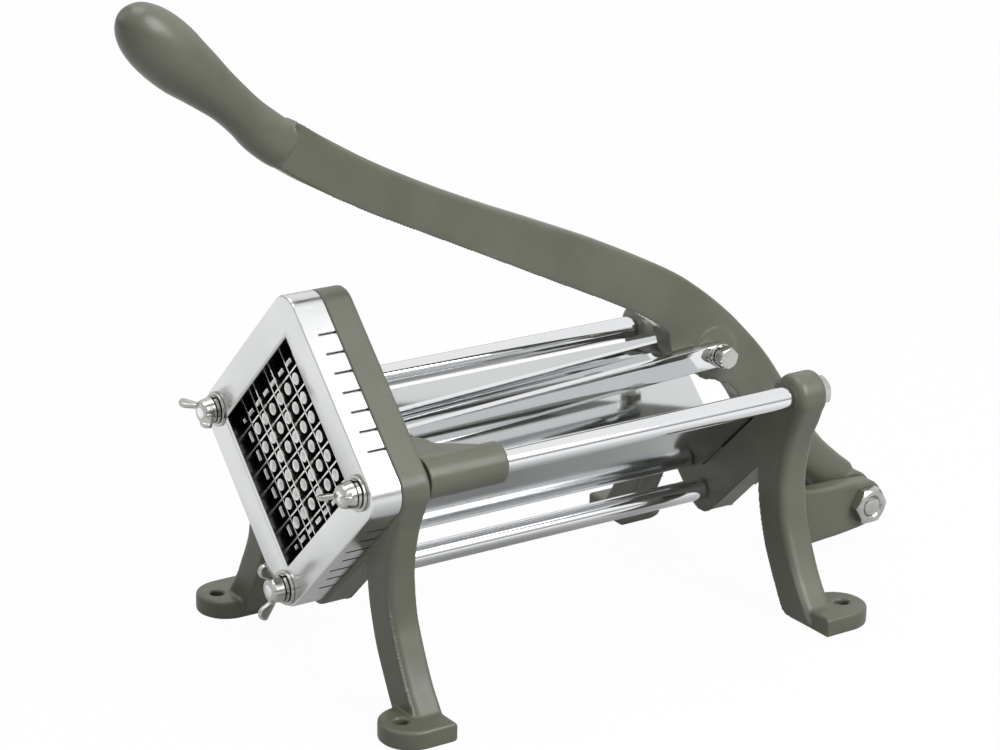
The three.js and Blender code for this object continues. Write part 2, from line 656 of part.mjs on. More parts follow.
function trough() {
  const vertex = TROUGH_FOLD_HEIGHT;
  const outerBend = TROUGH_BEND_RADIUS + TROUGH_SHEET;
  const bendCentre = vertex + outerBend * DIAGONAL;
  const edge = TROUGH_EDGE_SPREAD;
  const step = TROUGH_SHEET / DIAGONAL;
  const outline = [
    ...arc(0, bendCentre, outerBend, 225, 315, 2 * ARC_STEPS),
    [edge, vertex + edge],
    [edge - step, vertex + edge + step],
    ...arc(0, bendCentre, TROUGH_BEND_RADIUS, 315, 225, 2 * ARC_STEPS),
    [-edge + step, vertex + edge + step],
    [-edge, vertex + edge],
  ];
  return alongY(outline, FRONT_FRAME_FRONT + SEAT_GAP, REAR_FRAME_BACK);
}

// Pusher: a casting that slides on the side rods, with a plate of pins on its front

function diamondPlate(side, front, back, edge) {
  return alongY(roundedDiamond(side / 2, PUSHER_CORNER_RADIUS), front, back, edge);
}

// A pin of the grid: round, but a thin bar where it runs along a wall of the trough
function pin(row, column) {
  const length = PUSHER_FRONT_PLACE - PIN_TIP_PLACE + SEAT_GAP;
  const atRim = (index) => index === 0 || index === CELLS - 1;
  const width = (index) => (atRim(index) ? RIM_PIN_THICKNESS : RIM_PIN_LENGTH);
  const place = (index) => {
    const fromMiddle = index - (CELLS - 1) / 2;
    return atRim(index) ? Math.sign(fromMiddle) * (RIM_PIN_REACH - RIM_PIN_THICKNESS / 2) : fromMiddle * FRY_SIZE;
  };
  const geometry = atRim(row) || atRim(column)
    ? new THREE.BoxGeometry(width(column), length, width(row))
    : new THREE.CylinderGeometry(PIN_ROOT_DIAMETER / 2, PIN_TIP_DIAMETER / 2, length, PIN_SIDES);
  geometry.translate(place(column), PIN_TIP_PLACE + length / 2, place(row));
  geometry.rotateY(Math.PI / 4);
  geometry.translate(0, 0, BLOCK_CENTRE_HEIGHT);
  return solidOf(geometry);
}

function pinPlate() {
  const plateBack = PUSHER_FRONT_PLACE + PIN_PLATE_THICKNESS;
  let block = diamondPlate(PUSHER_SIDE, PUSHER_FRONT_PLACE, plateBack, 0);
  for (let row = 0; row < CELLS; row += 1) {
    for (let column = 0; column < CELLS; column += 1) {
      block = block.add(pin(row, column));
    }
  }
  for (const centre of pinPlateScrewCentres()) {
    block = block.subtract(rodAlongY(
      centre, PIN_PLATE_SCREW_DIAMETER / 2 + FIT_GAP, PUSHER_FRONT_PLACE + SEAT_GAP, plateBack + CUT_OVERRUN,
      SMALL_ROUND_SIDES,
    ));
  }
  return block;
}

function pinPlateScrewCentres() {
  return LEFT_AND_RIGHT.map((side) => [0, BLOCK_CENTRE_HEIGHT + side * PIN_PLATE_SCREW_SPREAD]);
}

function pinPlateScrew(centre) {
  const tip = PUSHER_FRONT_PLACE + PIN_PLATE_THICKNESS / 2;
  const head = CARRIER_BACK + SEAT_GAP;
  const radius = PIN_PLATE_SCREW_DIAMETER / 2;
  return turnedAlongY(centre, [
    [0, tip],
    [radius, tip],
    [radius, head],
    [radius * 1.8, head],
    [radius * 1.6, head + radius * 0.9],
    [radius * 0.8, head + radius * 1.2],
    [0, head + radius * 1.2],
  ], SMALL_ROUND_SIDES);
}

// The web's plan in shares: across, from the plate's corner to the sleeve's centre,
// and along, from the plate's front face to the sleeve's back end
const webShares = [
  [0, 0], [0, 0.2], [0.134, 0.39], [0.249, 0.457], [0.403, 0.46], [0.753, 1], [1, 1], [1, 0],
];

function pusherCarrier() {
  let carrier = diamondPlate(PUSHER_SIDE, CARRIER_FRONT, CARRIER_BACK, CASTING_EDGE);
  const lugHeight = LINK_HEIGHT / 2;
  const lugHalf = LINK_INNER_PLACE - FIT_GAP;
  const lugOutline = [
    ...arc(LINK_FRONT_PLACE, LINK_FRONT_HEIGHT, lugHeight, -90, 90, 2 * ARC_STEPS),
    [CARRIER_FRONT + CASTING_EDGE, LINK_FRONT_HEIGHT + 2 * lugHeight],
    [CARRIER_FRONT + CASTING_EDGE, LINK_FRONT_HEIGHT - 2 * lugHeight],
  ];
  carrier = carrier.add(alongX(lugOutline, -lugHalf, lugHalf, CASTING_EDGE));
  carrier = carrier.subtract(rodAlongX(
    [LINK_FRONT_PLACE, LINK_FRONT_HEIGHT],
    LINK_BOLT_DIAMETER / 2 + FIT_GAP, -lugHalf - CUT_OVERRUN, lugHalf + CUT_OVERRUN,
    SMALL_ROUND_SIDES,
  ));
  const sleeveBack = SLEEVE_FRONT_PLACE + SLEEVE_LENGTH;
  const plateCorner = PUSHER_SIDE / DIAGONAL;
  const webTop = SIDE_ROD_HEIGHT + WEB_HEIGHT_ABOVE_ROD;
  const webFront = CARRIER_FRONT + CASTING_EDGE;
  for (const side of LEFT_AND_RIGHT) {
    const centre = sideRodCentre(side);
    const sleeve = turnedAlongY(centre, [
      [0, SLEEVE_FRONT_PLACE],
      [SLEEVE_RADIUS, SLEEVE_FRONT_PLACE],
      [SLEEVE_RADIUS, sleeveBack - CASTING_EDGE],
      [SLEEVE_RADIUS - CASTING_EDGE, sleeveBack],
      [0, sleeveBack],
    ]);
    const start = plateCorner / 2;
    const web = webShares.map(([across, along]) => [
      side * (start + across * (SIDE_ROD_SPREAD - start)),
      webFront + along * (sleeveBack - CASTING_EDGE - webFront),
    ]);
    carrier = joined(carrier, sleeve, alongZ(web, webTop - WEB_THICKNESS, webTop, 0));
    carrier = carrier.subtract(rodAlongY(
      centre, ROD_DIAMETER / 2 + FIT_GAP, SLEEVE_FRONT_PLACE - CUT_OVERRUN, sleeveBack + CUT_OVERRUN,
    ));
  }
  for (const centre of pinPlateScrewCentres()) {
    carrier = carrier.subtract(rodAlongY(
      centre, PIN_PLATE_SCREW_DIAMETER / 2 + FIT_GAP, CARRIER_FRONT - CUT_OVERRUN, CARRIER_BACK + CUT_OVERRUN,
      SMALL_ROUND_SIDES,
    ));
  }
  return carrier;
}

// Links: two flat bars on edge, one each side of the lever

const linkSlope = Math.atan2(LINK_REAR_HEIGHT - LINK_FRONT_HEIGHT, LINK_REAR_PLACE - LINK_FRONT_PLACE);
const linkSlopeDegrees = THREE.MathUtils.radToDeg(linkSlope);

function link(side) {
  const half = LINK_HEIGHT / 2;
  const outline = [
    ...arc(LINK_REAR_PLACE, LINK_REAR_HEIGHT, half, linkSlopeDegrees - 90, linkSlopeDegrees + 90),
    ...arc(LINK_FRONT_PLACE, LINK_FRONT_HEIGHT, half, linkSlopeDegrees + 90, linkSlopeDegrees + 270),
  ];
  const faces = [side * LINK_INNER_PLACE, side * LINK_OUTER_PLACE].sort((a, b) => a - b);
  let bar = alongX(outline, faces[0], faces[1], BLOCK_EDGE / 2);
  const ends = [[LINK_REAR_PLACE, LINK_REAR_HEIGHT], [LINK_FRONT_PLACE, LINK_FRONT_HEIGHT]];
  for (const end of ends) {
    const hole = rodAlongX(
      end, LINK_BOLT_DIAMETER / 2 + FIT_GAP, faces[0] - CUT_OVERRUN, faces[1] + CUT_OVERRUN,
      SMALL_ROUND_SIDES,
    );
    bar = bar.subtract(hole);
  }
  return bar;
}

function hexAlongX(centre, flats, seat, face, turnDegrees = 0) {
  const [y, z] = centre;
  const [from, to] = seat < face ? [seat, face] : [face, seat];
  return alongX(hexagon(y, z, flats, turnDegrees), from, to)
    .intersect(turnedAlongX(centre, chamferProfile(flats, seat, face)));
}

// The front pivot bolt of one link; it ends short of the pusher's lug
function linkFrontPivot(side) {
  const centre = [LINK_FRONT_PLACE, LINK_FRONT_HEIGHT];
  const seat = side * (LINK_OUTER_PLACE + SEAT_GAP);
  const inner = side * (LINK_INNER_PLACE + SEAT_GAP);
  const face = seat + side * FRONT_PIVOT_HEAD;
  const shank = [inner, seat + side * SEAT_GAP].sort((a, b) => a - b);
  const head = hexAlongX(centre, LINK_BOLT_FLATS, seat, face);
  return head.add(rodAlongX(centre, LINK_BOLT_DIAMETER / 2, shank[0], shank[1], SMALL_ROUND_SIDES));
}

const LINK_WASHER_THICKNESS = 1.2;
const LINK_WASHER_DIAMETER = 12;
const LINK_LOCK_THICKNESS = 1.5;
const LINK_LOCK_DIAMETER = 10.4;
const LINK_WASHER_SEAT = LINK_OUTER_PLACE + SEAT_GAP;
const LINK_LOCK_SEAT = LINK_WASHER_SEAT + LINK_WASHER_THICKNESS + SEAT_GAP;
const LINK_HEAD_SEAT = LINK_LOCK_SEAT + LINK_LOCK_THICKNESS + SEAT_GAP;

function ringAlongX(centre, outer, inner, from, to) {
  const profile = [[inner, from], [outer, from], [outer, to], [inner, to], [inner, from]];
  return turnedAlongX(centre, profile, SMALL_ROUND_SIDES);
}

function linkWasher(side, seat, thickness, diameter) {
  const centre = [LINK_REAR_PLACE, LINK_REAR_HEIGHT];
  const faces = [side * seat, side * (seat + thickness)].sort((a, b) => a - b);
  return ringAlongX(centre, diameter / 2, LINK_BOLT_DIAMETER / 2 + FIT_GAP, faces[0], faces[1]);
}

function linkBolt() {
  const centre = [LINK_REAR_PLACE, LINK_REAR_HEIGHT];
  const head = hexAlongX(centre, LINK_BOLT_FLATS, LINK_HEAD_SEAT, LINK_HEAD_SEAT + LINK_BOLT_HEAD, 15);
  const tip = -LINK_HEAD_SEAT - LINK_BOLT_HEAD - ROD_CHAMFER;
  return head.add(rodAlongX(centre, LINK_BOLT_DIAMETER / 2, tip, LINK_HEAD_SEAT + SEAT_GAP, SMALL_ROUND_SIDES));
}

function nutAlongX(centre, flats, seat, face, boltDiameter) {
  const clear = boltDiameter / 2 + FIT_GAP;
  const [from, to] = seat < face ? [seat, face] : [face, seat];
  return hexAlongX(centre, flats, seat, face)
    .subtract(rodAlongX(centre, clear, from - CUT_OVERRUN, to + CUT_OVERRUN, SMALL_ROUND_SIDES));
}

// Lever: one casting, with a round grip, a flat bar, a heel at the link bolt and a round tail.
// Its outline is in shares of its reach and rise, measured from the pivot.

const leverTopShares = [
  [0.798, 0.804], [0.787, 0.792], [0.712, 0.731], [0.634, 0.677], [0.554, 0.628], [0.471, 0.581],
  [0.386, 0.531], [0.297, 0.471], [0.251, 0.431], [0.206, 0.382], [0.172, 0.337], [0.147, 0.3],
  [0.123, 0.2575], [0.074, 0.16],
];
const leverTailFrontShares = [
  [0.134, 0.128], [0.154, 0.166], [0.172, 0.2035], [0.1847, 0.23], [0.199, 0.252], [0.2135, 0.259],
  [0.24, 0.283],
];
const leverHeelShares = [[0.24, 0.283], [0.264, 0.3], [0.286, 0.323], [0.293, 0.363]];
const leverBottomShares = [
  [0.293, 0.363], [0.328, 0.397], [0.383, 0.436], [0.469, 0.492], [0.553, 0.547],
  [0.633, 0.599], [0.711, 0.65], [0.787, 0.7055], [0.823, 0.737],
];
// Centre of the grip, its height as a share of the largest, and its width as a share of its height,
// from the shoulder to the tip
const gripShares = [
  [0.808, 0.7655, 0.76, 0.76], [0.82, 0.7755, 0.755, 0.84], [0.838, 0.795, 0.735, 0.9],
  [0.855, 0.817, 0.68, 0.92], [0.876, 0.844, 0.7, 0.92], [0.895, 0.866, 0.78, 0.92],
  [0.912, 0.886, 0.875, 0.92], [0.928, 0.904, 0.955, 0.92], [0.943, 0.923, 1, 0.92],
  [0.958, 0.942, 0.985, 0.92], [0.972, 0.96, 0.89, 0.93], [0.9825, 0.974, 0.72, 0.95],
  [0.989, 0.9825, 0.53, 0.97], [0.9935, 0.9885, 0.28, 1],
];
// Centre of the tail, with its height and width as shares of the eye's diameter and width
const tailShares = [
  [0.1681, 0.2735, 0.8, 0.64], [0.1421, 0.2282, 0.87, 0.74], [0.1032, 0.1581, 0.833, 0.82],
  [0.0646, 0.0929, 0.818, 0.92], [0.0356, 0.0546, 0.834, 0.97], [0.0103, 0.0221, 0.92, 0.98],
];

function leverPoint([back, up]) {
  return [PIVOT_PLACE - back * LEVER_REACH, PIVOT_HEIGHT + up * LEVER_RISE];
}

// A closed skin through rounded rings; each station is [y, z, height, width]
function loft(stations, squareness) {
  const sides = LEVER_SIDES;
  const positions = [];
  const indices = [];
  stations.forEach(([y, z, height, width], i) => {
    const before = stations[Math.max(i - 1, 0)];
    const after = stations[Math.min(i + 1, stations.length - 1)];
    const heading = Math.atan2(after[1] - before[1], after[0] - before[0]);
    for (let k = 0; k < sides; k += 1) {
      const angle = 2 * Math.PI * k / sides;
      const cosine = Math.cos(angle);
      const sine = Math.sin(angle);
      const acrossX = width / 2 * Math.sign(cosine) * Math.abs(cosine) ** squareness;
      const upright = height / 2 * Math.sign(sine) * Math.abs(sine) ** squareness;
      positions.push(acrossX, y - upright * Math.sin(heading), z + upright * Math.cos(heading));
    }
  });
  for (let i = 0; i + 1 < stations.length; i += 1) {
    for (let k = 0; k < sides; k += 1) {
      const next = (k + 1) % sides;
      const a = i * sides + k;
      const b = i * sides + next;
      indices.push(a, a + sides, b, b, a + sides, b + sides);
    }
  }
  for (const last of [false, true]) {
    const ring = last ? (stations.length - 1) * sides : 0;
    const station = last ? stations[stations.length - 1] : stations[0];
    const hub = positions.length / 3;
    positions.push(0, station[0], station[1]);
    for (let k = 0; k < sides; k += 1) {
      const a = ring + k;
      const b = ring + (k + 1) % sides;
      indices.push(...(last ? [a, hub, b] : [a, b, hub]));
    }
  }
  const geometry = new THREE.BufferGeometry();
  geometry.setAttribute('position', new THREE.BufferAttribute(new Float32Array(positions), 3));
  geometry.setIndex(indices);
  return solidOfShared(geometry);
}

function smoothStations(stations, steps) {
  const places = new THREE.CatmullRomCurve3(stations.map(([y, z, height]) => new THREE.Vector3(y, z, height)));
  const widths = new THREE.SplineCurve(stations.map(([, , height, width]) => new THREE.Vector2(height, width)));
  const smooth = [];
  for (let i = 0; i <= steps; i += 1) {
    const along = places.getPoint(i / steps);
    smooth.push([along.x, along.y, along.z, widths.getPoint(i / steps).y]);
  }
  return smooth;
}

function lever() {
  const barOutline = [
    ...smoothCurve(leverTopShares.map(leverPoint), 2 * CURVE_STEPS),
    ...smoothCurve(leverTailFrontShares.map(leverPoint), 2 * ARC_STEPS),
    ...smoothCurve(leverHeelShares.map(leverPoint), ARC_STEPS).slice(1),
    ...smoothCurve(leverBottomShares.map(leverPoint), CURVE_STEPS).slice(1),
  ];
  const halfBar = LEVER_THICKNESS / 2;
  const bar = alongX(barOutline, -halfBar, halfBar, LEVER_EDGE, LEVER_EDGE_STEPS);
  const gripStations = gripShares.map(([back, up, height, width]) => (
    [...leverPoint([back, up]), height * GRIP_DIAMETER, width * height * GRIP_DIAMETER]
  ));
  const grip = loft(smoothStations(gripStations, 2 * CURVE_STEPS), 1);
  const tailStations = tailShares.map(([back, up, height, width]) => (
    [...leverPoint([back, up]), height * 2 * EYE_RADIUS, width * EYE_WIDTH]
  ));
  const tail = loft(smoothStations(tailStations, CURVE_STEPS), 0.85);
  const eyeHalf = EYE_WIDTH / 2;
  const pivot = [PIVOT_PLACE, PIVOT_HEIGHT];
  const eye = turnedAlongX(pivot, [
    [0, -eyeHalf],
    [EYE_RADIUS - CASTING_EDGE, -eyeHalf],
    [EYE_RADIUS, -eyeHalf + CASTING_EDGE],
    [EYE_RADIUS, eyeHalf - CASTING_EDGE],
    [EYE_RADIUS - CASTING_EDGE, eyeHalf],
    [0, eyeHalf],
  ]);
  const linkCentre = [LINK_REAR_PLACE, LINK_REAR_HEIGHT];
  const bossHalf = LINK_INNER_PLACE - FIT_GAP;
  const boss = turnedAlongX(linkCentre, [
    [0, -bossHalf],
    [LINK_BOSS_RADIUS, -bossHalf],
    [LINK_BOSS_RADIUS + CASTING_EDGE, 0],
    [LINK_BOSS_RADIUS, bossHalf],
    [0, bossHalf],
  ]);
  const pivotBore = rodAlongX(
    pivot, PIVOT_BOLT_DIAMETER / 2 + FIT_GAP, -eyeHalf - CUT_OVERRUN, eyeHalf + CUT_OVERRUN,
  );
  const linkBore = rodAlongX(
    linkCentre, LINK_BOLT_DIAMETER / 2 + FIT_GAP, -bossHalf - CUT_OVERRUN, bossHalf + CUT_OVERRUN,
    SMALL_ROUND_SIDES,
  );
  return joined(bar, grip, tail, eye, boss).subtract(pivotBore).subtract(linkBore);
}

function pivotBolt() {
  const centre = [PIVOT_PLACE, PIVOT_HEIGHT];
  const seat = -CLEVIS_OUTER_SPREAD - SEAT_GAP;
  const head = hexAlongX(centre, PIVOT_BOLT_FLATS, seat, seat - PIVOT_HEAD);
  const tip = CLEVIS_OUTER_SPREAD + SEAT_GAP + PIVOT_NUT + ROD_CHAMFER / 2;
  const radius = PIVOT_BOLT_DIAMETER / 2;
  const shank = turnedAlongX(centre, [
    [0, seat - SEAT_GAP],
    [radius, seat - SEAT_GAP],
    [radius, tip - ROD_CHAMFER],
    [radius - ROD_CHAMFER, tip],
    [0, tip],
  ]);
  return head.add(shank);
}

function pivotNut() {
  const seat = CLEVIS_OUTER_SPREAD + SEAT_GAP;
  return nutAlongX([PIVOT_PLACE, PIVOT_HEIGHT], PIVOT_BOLT_FLATS, seat, seat + PIVOT_NUT, PIVOT_BOLT_DIAMETER);
}

// Assembly

const pieces = [
  place('front_frame', frontFrame(), castEnamel),
  place('rear_frame', rearFrame(), castEnamel),
  place('blade_block', bladeBlock(), machinedAluminium),
  place('trough', trough(), polishedSteel),
];
for (let i = 1; i < CELLS; i += 1) {
  pieces.push(place(`blade_rising_${i}`, blade(1, i), bladeSteel));
  pieces.push(place(`blade_falling_${i}`, blade(-1, i), bladeSteel));
}
const rodPlaces = [
  ['right', sideRodCentre(1), -17],
  ['left', sideRodCentre(-1), 10],
  ['bottom', bottomRodCentre, 90],
];
for (const [name, centre, wingTurn] of rodPlaces) {
  pieces.push(place(`tie_rod_${name}`, tieRod(centre), polishedSteel));
  pieces.push(place(`rear_bolt_${name}`, rearBolt(centre), zincPlate));
  pieces.push(place(`washer_${name}`, frontWasher(centre), zincPlate));
  pieces.push(place(`lock_washer_${name}`, frontLockWasher(centre), zincPlate));
  pieces.push(place(`wing_nut_${name}`, wingNut(centre, wingTurn), zincPlate));
}
pieces.push(place('pusher_carrier', pusherCarrier(), castEnamel));
pieces.push(place('pin_plate', pinPlate(), machinedAluminium));
pinPlateScrewCentres().forEach((centre, i) => {
  pieces.push(place(`pin_plate_screw_${i + 1}`, pinPlateScrew(centre), zincPlate));
});
for (const [name, side] of [['right', 1], ['left', -1]]) {
  pieces.push(place(`link_${name}`, link(side), polishedSteel));
  pieces.push(place(`link_front_pivot_${name}`, linkFrontPivot(side), zincPlate));
  const flat = linkWasher(side, LINK_WASHER_SEAT, LINK_WASHER_THICKNESS, LINK_WASHER_DIAMETER);
  const lock = linkWasher(side, LINK_LOCK_SEAT, LINK_LOCK_THICKNESS, LINK_LOCK_DIAMETER);
  pieces.push(place(`link_washer_${name}`, flat, zincPlate));
  pieces.push(place(`link_lock_washer_${name}`, lock, zincPlate));
}
pieces.push(place('link_bolt', linkBolt(), zincPlate));
pieces.push(place('link_nut', nutAlongX(
  [LINK_REAR_PLACE, LINK_REAR_HEIGHT], LINK_BOLT_FLATS, -LINK_HEAD_SEAT,
  -LINK_HEAD_SEAT - LINK_BOLT_HEAD, LINK_BOLT_DIAMETER,
), zincPlate));
pieces.push(place('lever', lever(), castEnamel));
pieces.push(place('pivot_bolt', pivotBolt(), zincPlate));
pieces.push(place('pivot_nut', pivotNut(), zincPlate));

const cutter = new THREE.Group();
cutter.add(...pieces);

// The finished part's origin is the middle of its footprint, on the bench
const box = new THREE.Box3().setFromObject(cutter);
const middle = box.getCenter(new THREE.Vector3());
cutter.position.set(-middle.x, -middle.y, -box.min.z);

export default cutter;
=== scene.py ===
import bmesh
import bpy
import numpy as np
from mathutils import Matrix, Vector


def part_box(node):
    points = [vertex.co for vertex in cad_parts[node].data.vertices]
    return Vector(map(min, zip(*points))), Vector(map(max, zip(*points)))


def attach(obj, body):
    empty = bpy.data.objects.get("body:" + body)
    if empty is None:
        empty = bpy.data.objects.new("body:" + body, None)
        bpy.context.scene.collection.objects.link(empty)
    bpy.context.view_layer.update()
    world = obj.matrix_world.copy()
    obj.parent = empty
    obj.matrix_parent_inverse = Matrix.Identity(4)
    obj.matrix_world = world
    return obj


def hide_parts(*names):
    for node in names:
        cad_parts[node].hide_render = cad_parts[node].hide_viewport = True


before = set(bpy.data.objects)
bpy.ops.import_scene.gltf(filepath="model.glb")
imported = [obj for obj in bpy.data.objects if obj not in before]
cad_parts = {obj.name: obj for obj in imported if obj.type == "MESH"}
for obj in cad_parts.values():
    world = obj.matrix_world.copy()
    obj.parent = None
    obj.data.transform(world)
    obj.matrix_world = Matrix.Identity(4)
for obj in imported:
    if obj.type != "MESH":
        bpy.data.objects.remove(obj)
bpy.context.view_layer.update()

# ------------------------------------------------------------------ Front casting
# A diamond ring behind the blade block, with two bowed legs that end in bolt-down feet.
# One aluminium sand casting, fettled round at its edges and sprayed olive-grey.

MM = 0.001
BLOCK_FACE_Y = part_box("blade_block")[0].y
BLOCK_CENTRE = 107.1
SIDE_ROD = (61.0, 109.0)
BOTTOM_ROD = (0.0, 43.7)
FRONT_CASTING_Y = (15.3, 29.5)
ROOT_TWO = np.sqrt(2)


def arc(centre, radius, start, end, count=24):
    """Points on a circle: the centre plus the radius times cosine and sine of an angle, in
    degrees, that grows evenly from start to end."""
    angle = np.radians(np.linspace(start, end, count))
    return np.array(centre) + radius * np.stack([np.cos(angle), np.sin(angle)], 1)


def curve_through(points, count=60):
    """Catmull-Rom curve: between two points runs the cubic that meets both, with a slope at
    each point of half the chord between its neighbours. The end points count twice."""
    p = np.array(points, float)
    p = np.vstack([p[:1], p, p[-1:]])
    t = np.linspace(0, len(p) - 3 - 1e-9, count)
    i = t.astype(int)
    f = (t - i)[:, None]
    a, b, c, d = p[i], p[i + 1], p[i + 2], p[i + 3]
    return 0.5 * (2 * b + (c - a) * f + (2 * a - 5 * b + 4 * c - d) * f**2 + (3 * b - a - 3 * c + d) * f**3)


def grid_faces(rows, columns, close_rows=False):
    """Four-sided faces of a grid of rows by columns whose columns always close into a ring:
    each face joins a point, the next in its ring, and the two beside them in the next ring."""
    r = np.arange(rows if close_rows else rows - 1)[:, None]
    c = np.arange(columns)[None, :]
    r2, c2 = (r + 1) % rows, (c + 1) % columns
    quads = np.stack([r * columns + c, r * columns + c2, r2 * columns + c2, r2 * columns + c], -1)
    return quads.reshape(-1, 4).tolist()


def slab(outline, low, high, axis, edge=0.0, steps=4, far_edge=None):
    """An outline carried straight along an axis. Near each end it draws in along its own
    normals by edge times one minus the sine of an angle, while it advances by edge times
    one minus the cosine, so the rim is a quarter circle. The low end's edge can differ from
    point to point, and far_edge is the high end's. The ends are flat."""
    loop = np.asarray(outline, float)
    count = len(loop)
    near = np.broadcast_to(np.asarray(edge, float), count)
    far = near if far_edge is None else np.full(count, float(far_edge))
    turn = np.linspace(0, np.pi / 2, steps if near.any() or far.any() else 1)[:, None]
    turn = turn if len(turn) > 1 else turn + np.pi / 2
    tangent = np.roll(loop, -1, 0) - np.roll(loop, 1, 0)
    normal = np.stack([tangent[:, 1], -tangent[:, 0]], 1)
    normal /= np.maximum(np.linalg.norm(normal, axis=1, keepdims=True), 1e-9)
    following = np.roll(loop, -1, 0)
    area = np.sum(loop[:, 0] * following[:, 1] - following[:, 0] * loop[:, 1])
    inset = np.vstack([near * (1 - np.sin(turn)), far * (1 - np.sin(turn[::-1]))]) * np.sign(area)
    along = np.vstack([low + near * (1 - np.cos(turn)), high - far * (1 - np.cos(turn[::-1]))])
    rings = loop[None] - normal[None] * inset[:, :, None]
    flat = np.insert(rings.reshape(-1, 2), axis, along.ravel(), axis=1)
    last = (len(along) - 1) * count
    ring = np.arange(count)
    return flat, grid_faces(len(along), count) + [ring[::-1].tolist(), (ring + last).tolist()]


def denser(points, step=1.2):
    """A closed outline with extra points on its straight runs, at most a step apart."""
    loop = np.asarray(points, float)
    following = np.roll(loop, -1, 0)
    runs = np.ceil(np.linalg.norm(following - loop, axis=1) / step).astype(int)
    runs = np.maximum(runs, 1)
    start = np.repeat(np.arange(len(loop)), runs)
    share = (np.arange(runs.sum()) - np.repeat(np.cumsum(runs) - runs, runs)) / runs[start]
    return loop[start] + (following - loop)[start] * share[:, None]


def around(centre, profile, sides=64, axis=1, closed=False, squash=None):
    """A profile of (radius, place along the axis) turned about the axis: the two other
    coordinates are the centre plus the radius times cosine and sine of the turn."""
    p = np.array(profile, float)
    angle = np.linspace(0, 2 * np.pi, sides, endpoint=False)
    radius = p[:, :1] * np.ones(sides)
    if squash is not None:
        radius = squash(radius, angle[None], p[:, 1:])
    a = centre[0] + radius * np.cos(angle)
    b = centre[1] + radius * np.sin(angle)
    points = np.insert(np.stack([a, b], -1).reshape(-1, 2), axis, np.repeat(p[:, 1], sides), axis=1)
    faces = grid_faces(len(p), sides, closed)
    if not closed:
        ring = np.arange(sides)
        faces += [ring[::-1].tolist(), (ring + (len(p) - 1) * sides).tolist()]
    return points, faces


def body_mesh(name, shells):
    """One mesh from several closed shells, moved from the drawing's millimetres to the frame:
    millimetres over a thousand, with y counted from the blade block's front face."""
    vertices, faces, start = [], [], 0
    for points, polygons in shells:
        vertices.append(points * MM + [0, BLOCK_FACE_Y, 0])
        faces += [[start + k for k in polygon] for polygon in polygons]
        start += len(points)
    mesh = bpy.data.meshes.new(name)
    mesh.from_pydata(np.concatenate(vertices), [], faces)
    solid = bmesh.new()
    solid.from_mesh(mesh)
    bmesh.ops.remove_doubles(solid, verts=solid.verts, dist=1e-7)
    bmesh.ops.recalc_face_normals(solid, faces=solid.faces)
    solid.to_mesh(mesh)
    solid.free()
    made = bpy.data.objects.new(name, mesh)
    bpy.context.scene.collection.objects.link(made)
    return made


def settle(made):
    """Turns a piece's modifiers into its own mesh."""
    bpy.context.view_layer.update()
    shown = made.evaluated_get(bpy.context.evaluated_depsgraph_get())
    mesh = bpy.data.meshes.new_from_object(shown)
    made.modifiers.clear()
    made.data = mesh
    return made


def cast(name, shells, grain, rounds):
    """A casting: the union of its shells is rebuilt as one even skin with faces about the
    size of grain, then each round moves every point halfway to its neighbours' mean, which
    leaves the fillets and soft edges of a sand casting."""
    made = body_mesh(name, shells)
    skin = made.modifiers.new("skin", "REMESH")
    skin.mode = "VOXEL"
    skin.voxel_size = grain * MM
    skin.use_smooth_shade = True
    fettle = made.modifiers.new("fettle", "SMOOTH")
    fettle.factor = 0.5
    fettle.iterations = rounds
    settle(made)
    made.data.polygons.foreach_set("use_smooth", np.ones(len(made.data.polygons), bool))
    return made


def finish_piece(made, material, body, slot, *nodes):
    """Gives a finished piece its material, the body it rides on and the nodes it stands for."""
    made.data.materials.clear()
    made.data.materials.append(material)
    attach(made, body)
    if nodes:
        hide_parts(*nodes)
    return made


def new_material(name, metallic=0.0):
    """An empty principled material, its nodes, its links and its shader."""
    material = bpy.data.materials.new(name)
    material.use_nodes = True
    nodes, links = material.node_tree.nodes, material.node_tree.links
    shader = nodes["Principled BSDF"]
    shader.inputs["Metallic"].default_value = metallic
    return material, nodes, links, shader


def noise(nodes, links, scale, detail=3.0, stretch=(1, 1, 1), turn=(0, 0, 0)):
    """Cloudy noise on the piece's own coordinates, stretched and turned by a Mapping node."""
    where = nodes.new("ShaderNodeTexCoord")
    mapping = nodes.new("ShaderNodeMapping")
    mapping.inputs["Scale"].default_value = stretch
    mapping.inputs["Rotation"].default_value = turn
    cloud = nodes.new("ShaderNodeTexNoise")
    cloud.inputs["Scale"].default_value = scale
    cloud.inputs["Detail"].default_value = detail
    links.new(where.outputs["Object"], mapping.inputs["Vector"])
    links.new(mapping.outputs["Vector"], cloud.inputs["Vector"])
    return cloud.outputs["Fac"]


def ramp(nodes, links, source, stops):
    """A smooth run of colours or greys over a 0 to 1 value."""
    made = nodes.new("ShaderNodeValToRGB")
    made.color_ramp.interpolation = "EASE"
    elements = made.color_ramp.elements
    while len(elements) < len(stops):
        elements.new(0.5)
    for element, (place, colour) in zip(elements, stops):
        element.position = place
        element.color = (*colour, 1) if len(colour) == 3 else colour
    links.new(source, made.inputs["Fac"])
    return made.outputs["Color"]


def bump(nodes, links, shader, sources, distance):
    """Stacks height patterns: each (height, strength) is added on top of the one before."""
    normal = None
    for height, strength in sources:
        lift = nodes.new("ShaderNodeBump")
        lift.inputs["Strength"].default_value = strength
        lift.inputs["Distance"].default_value = distance
        links.new(height, lift.inputs["Height"])
        if normal is not None:
            links.new(normal, lift.inputs["Normal"])
        normal = lift.outputs["Normal"]
    links.new(normal, shader.inputs["Normal"])


def grey(value):
    return (value, value, value)


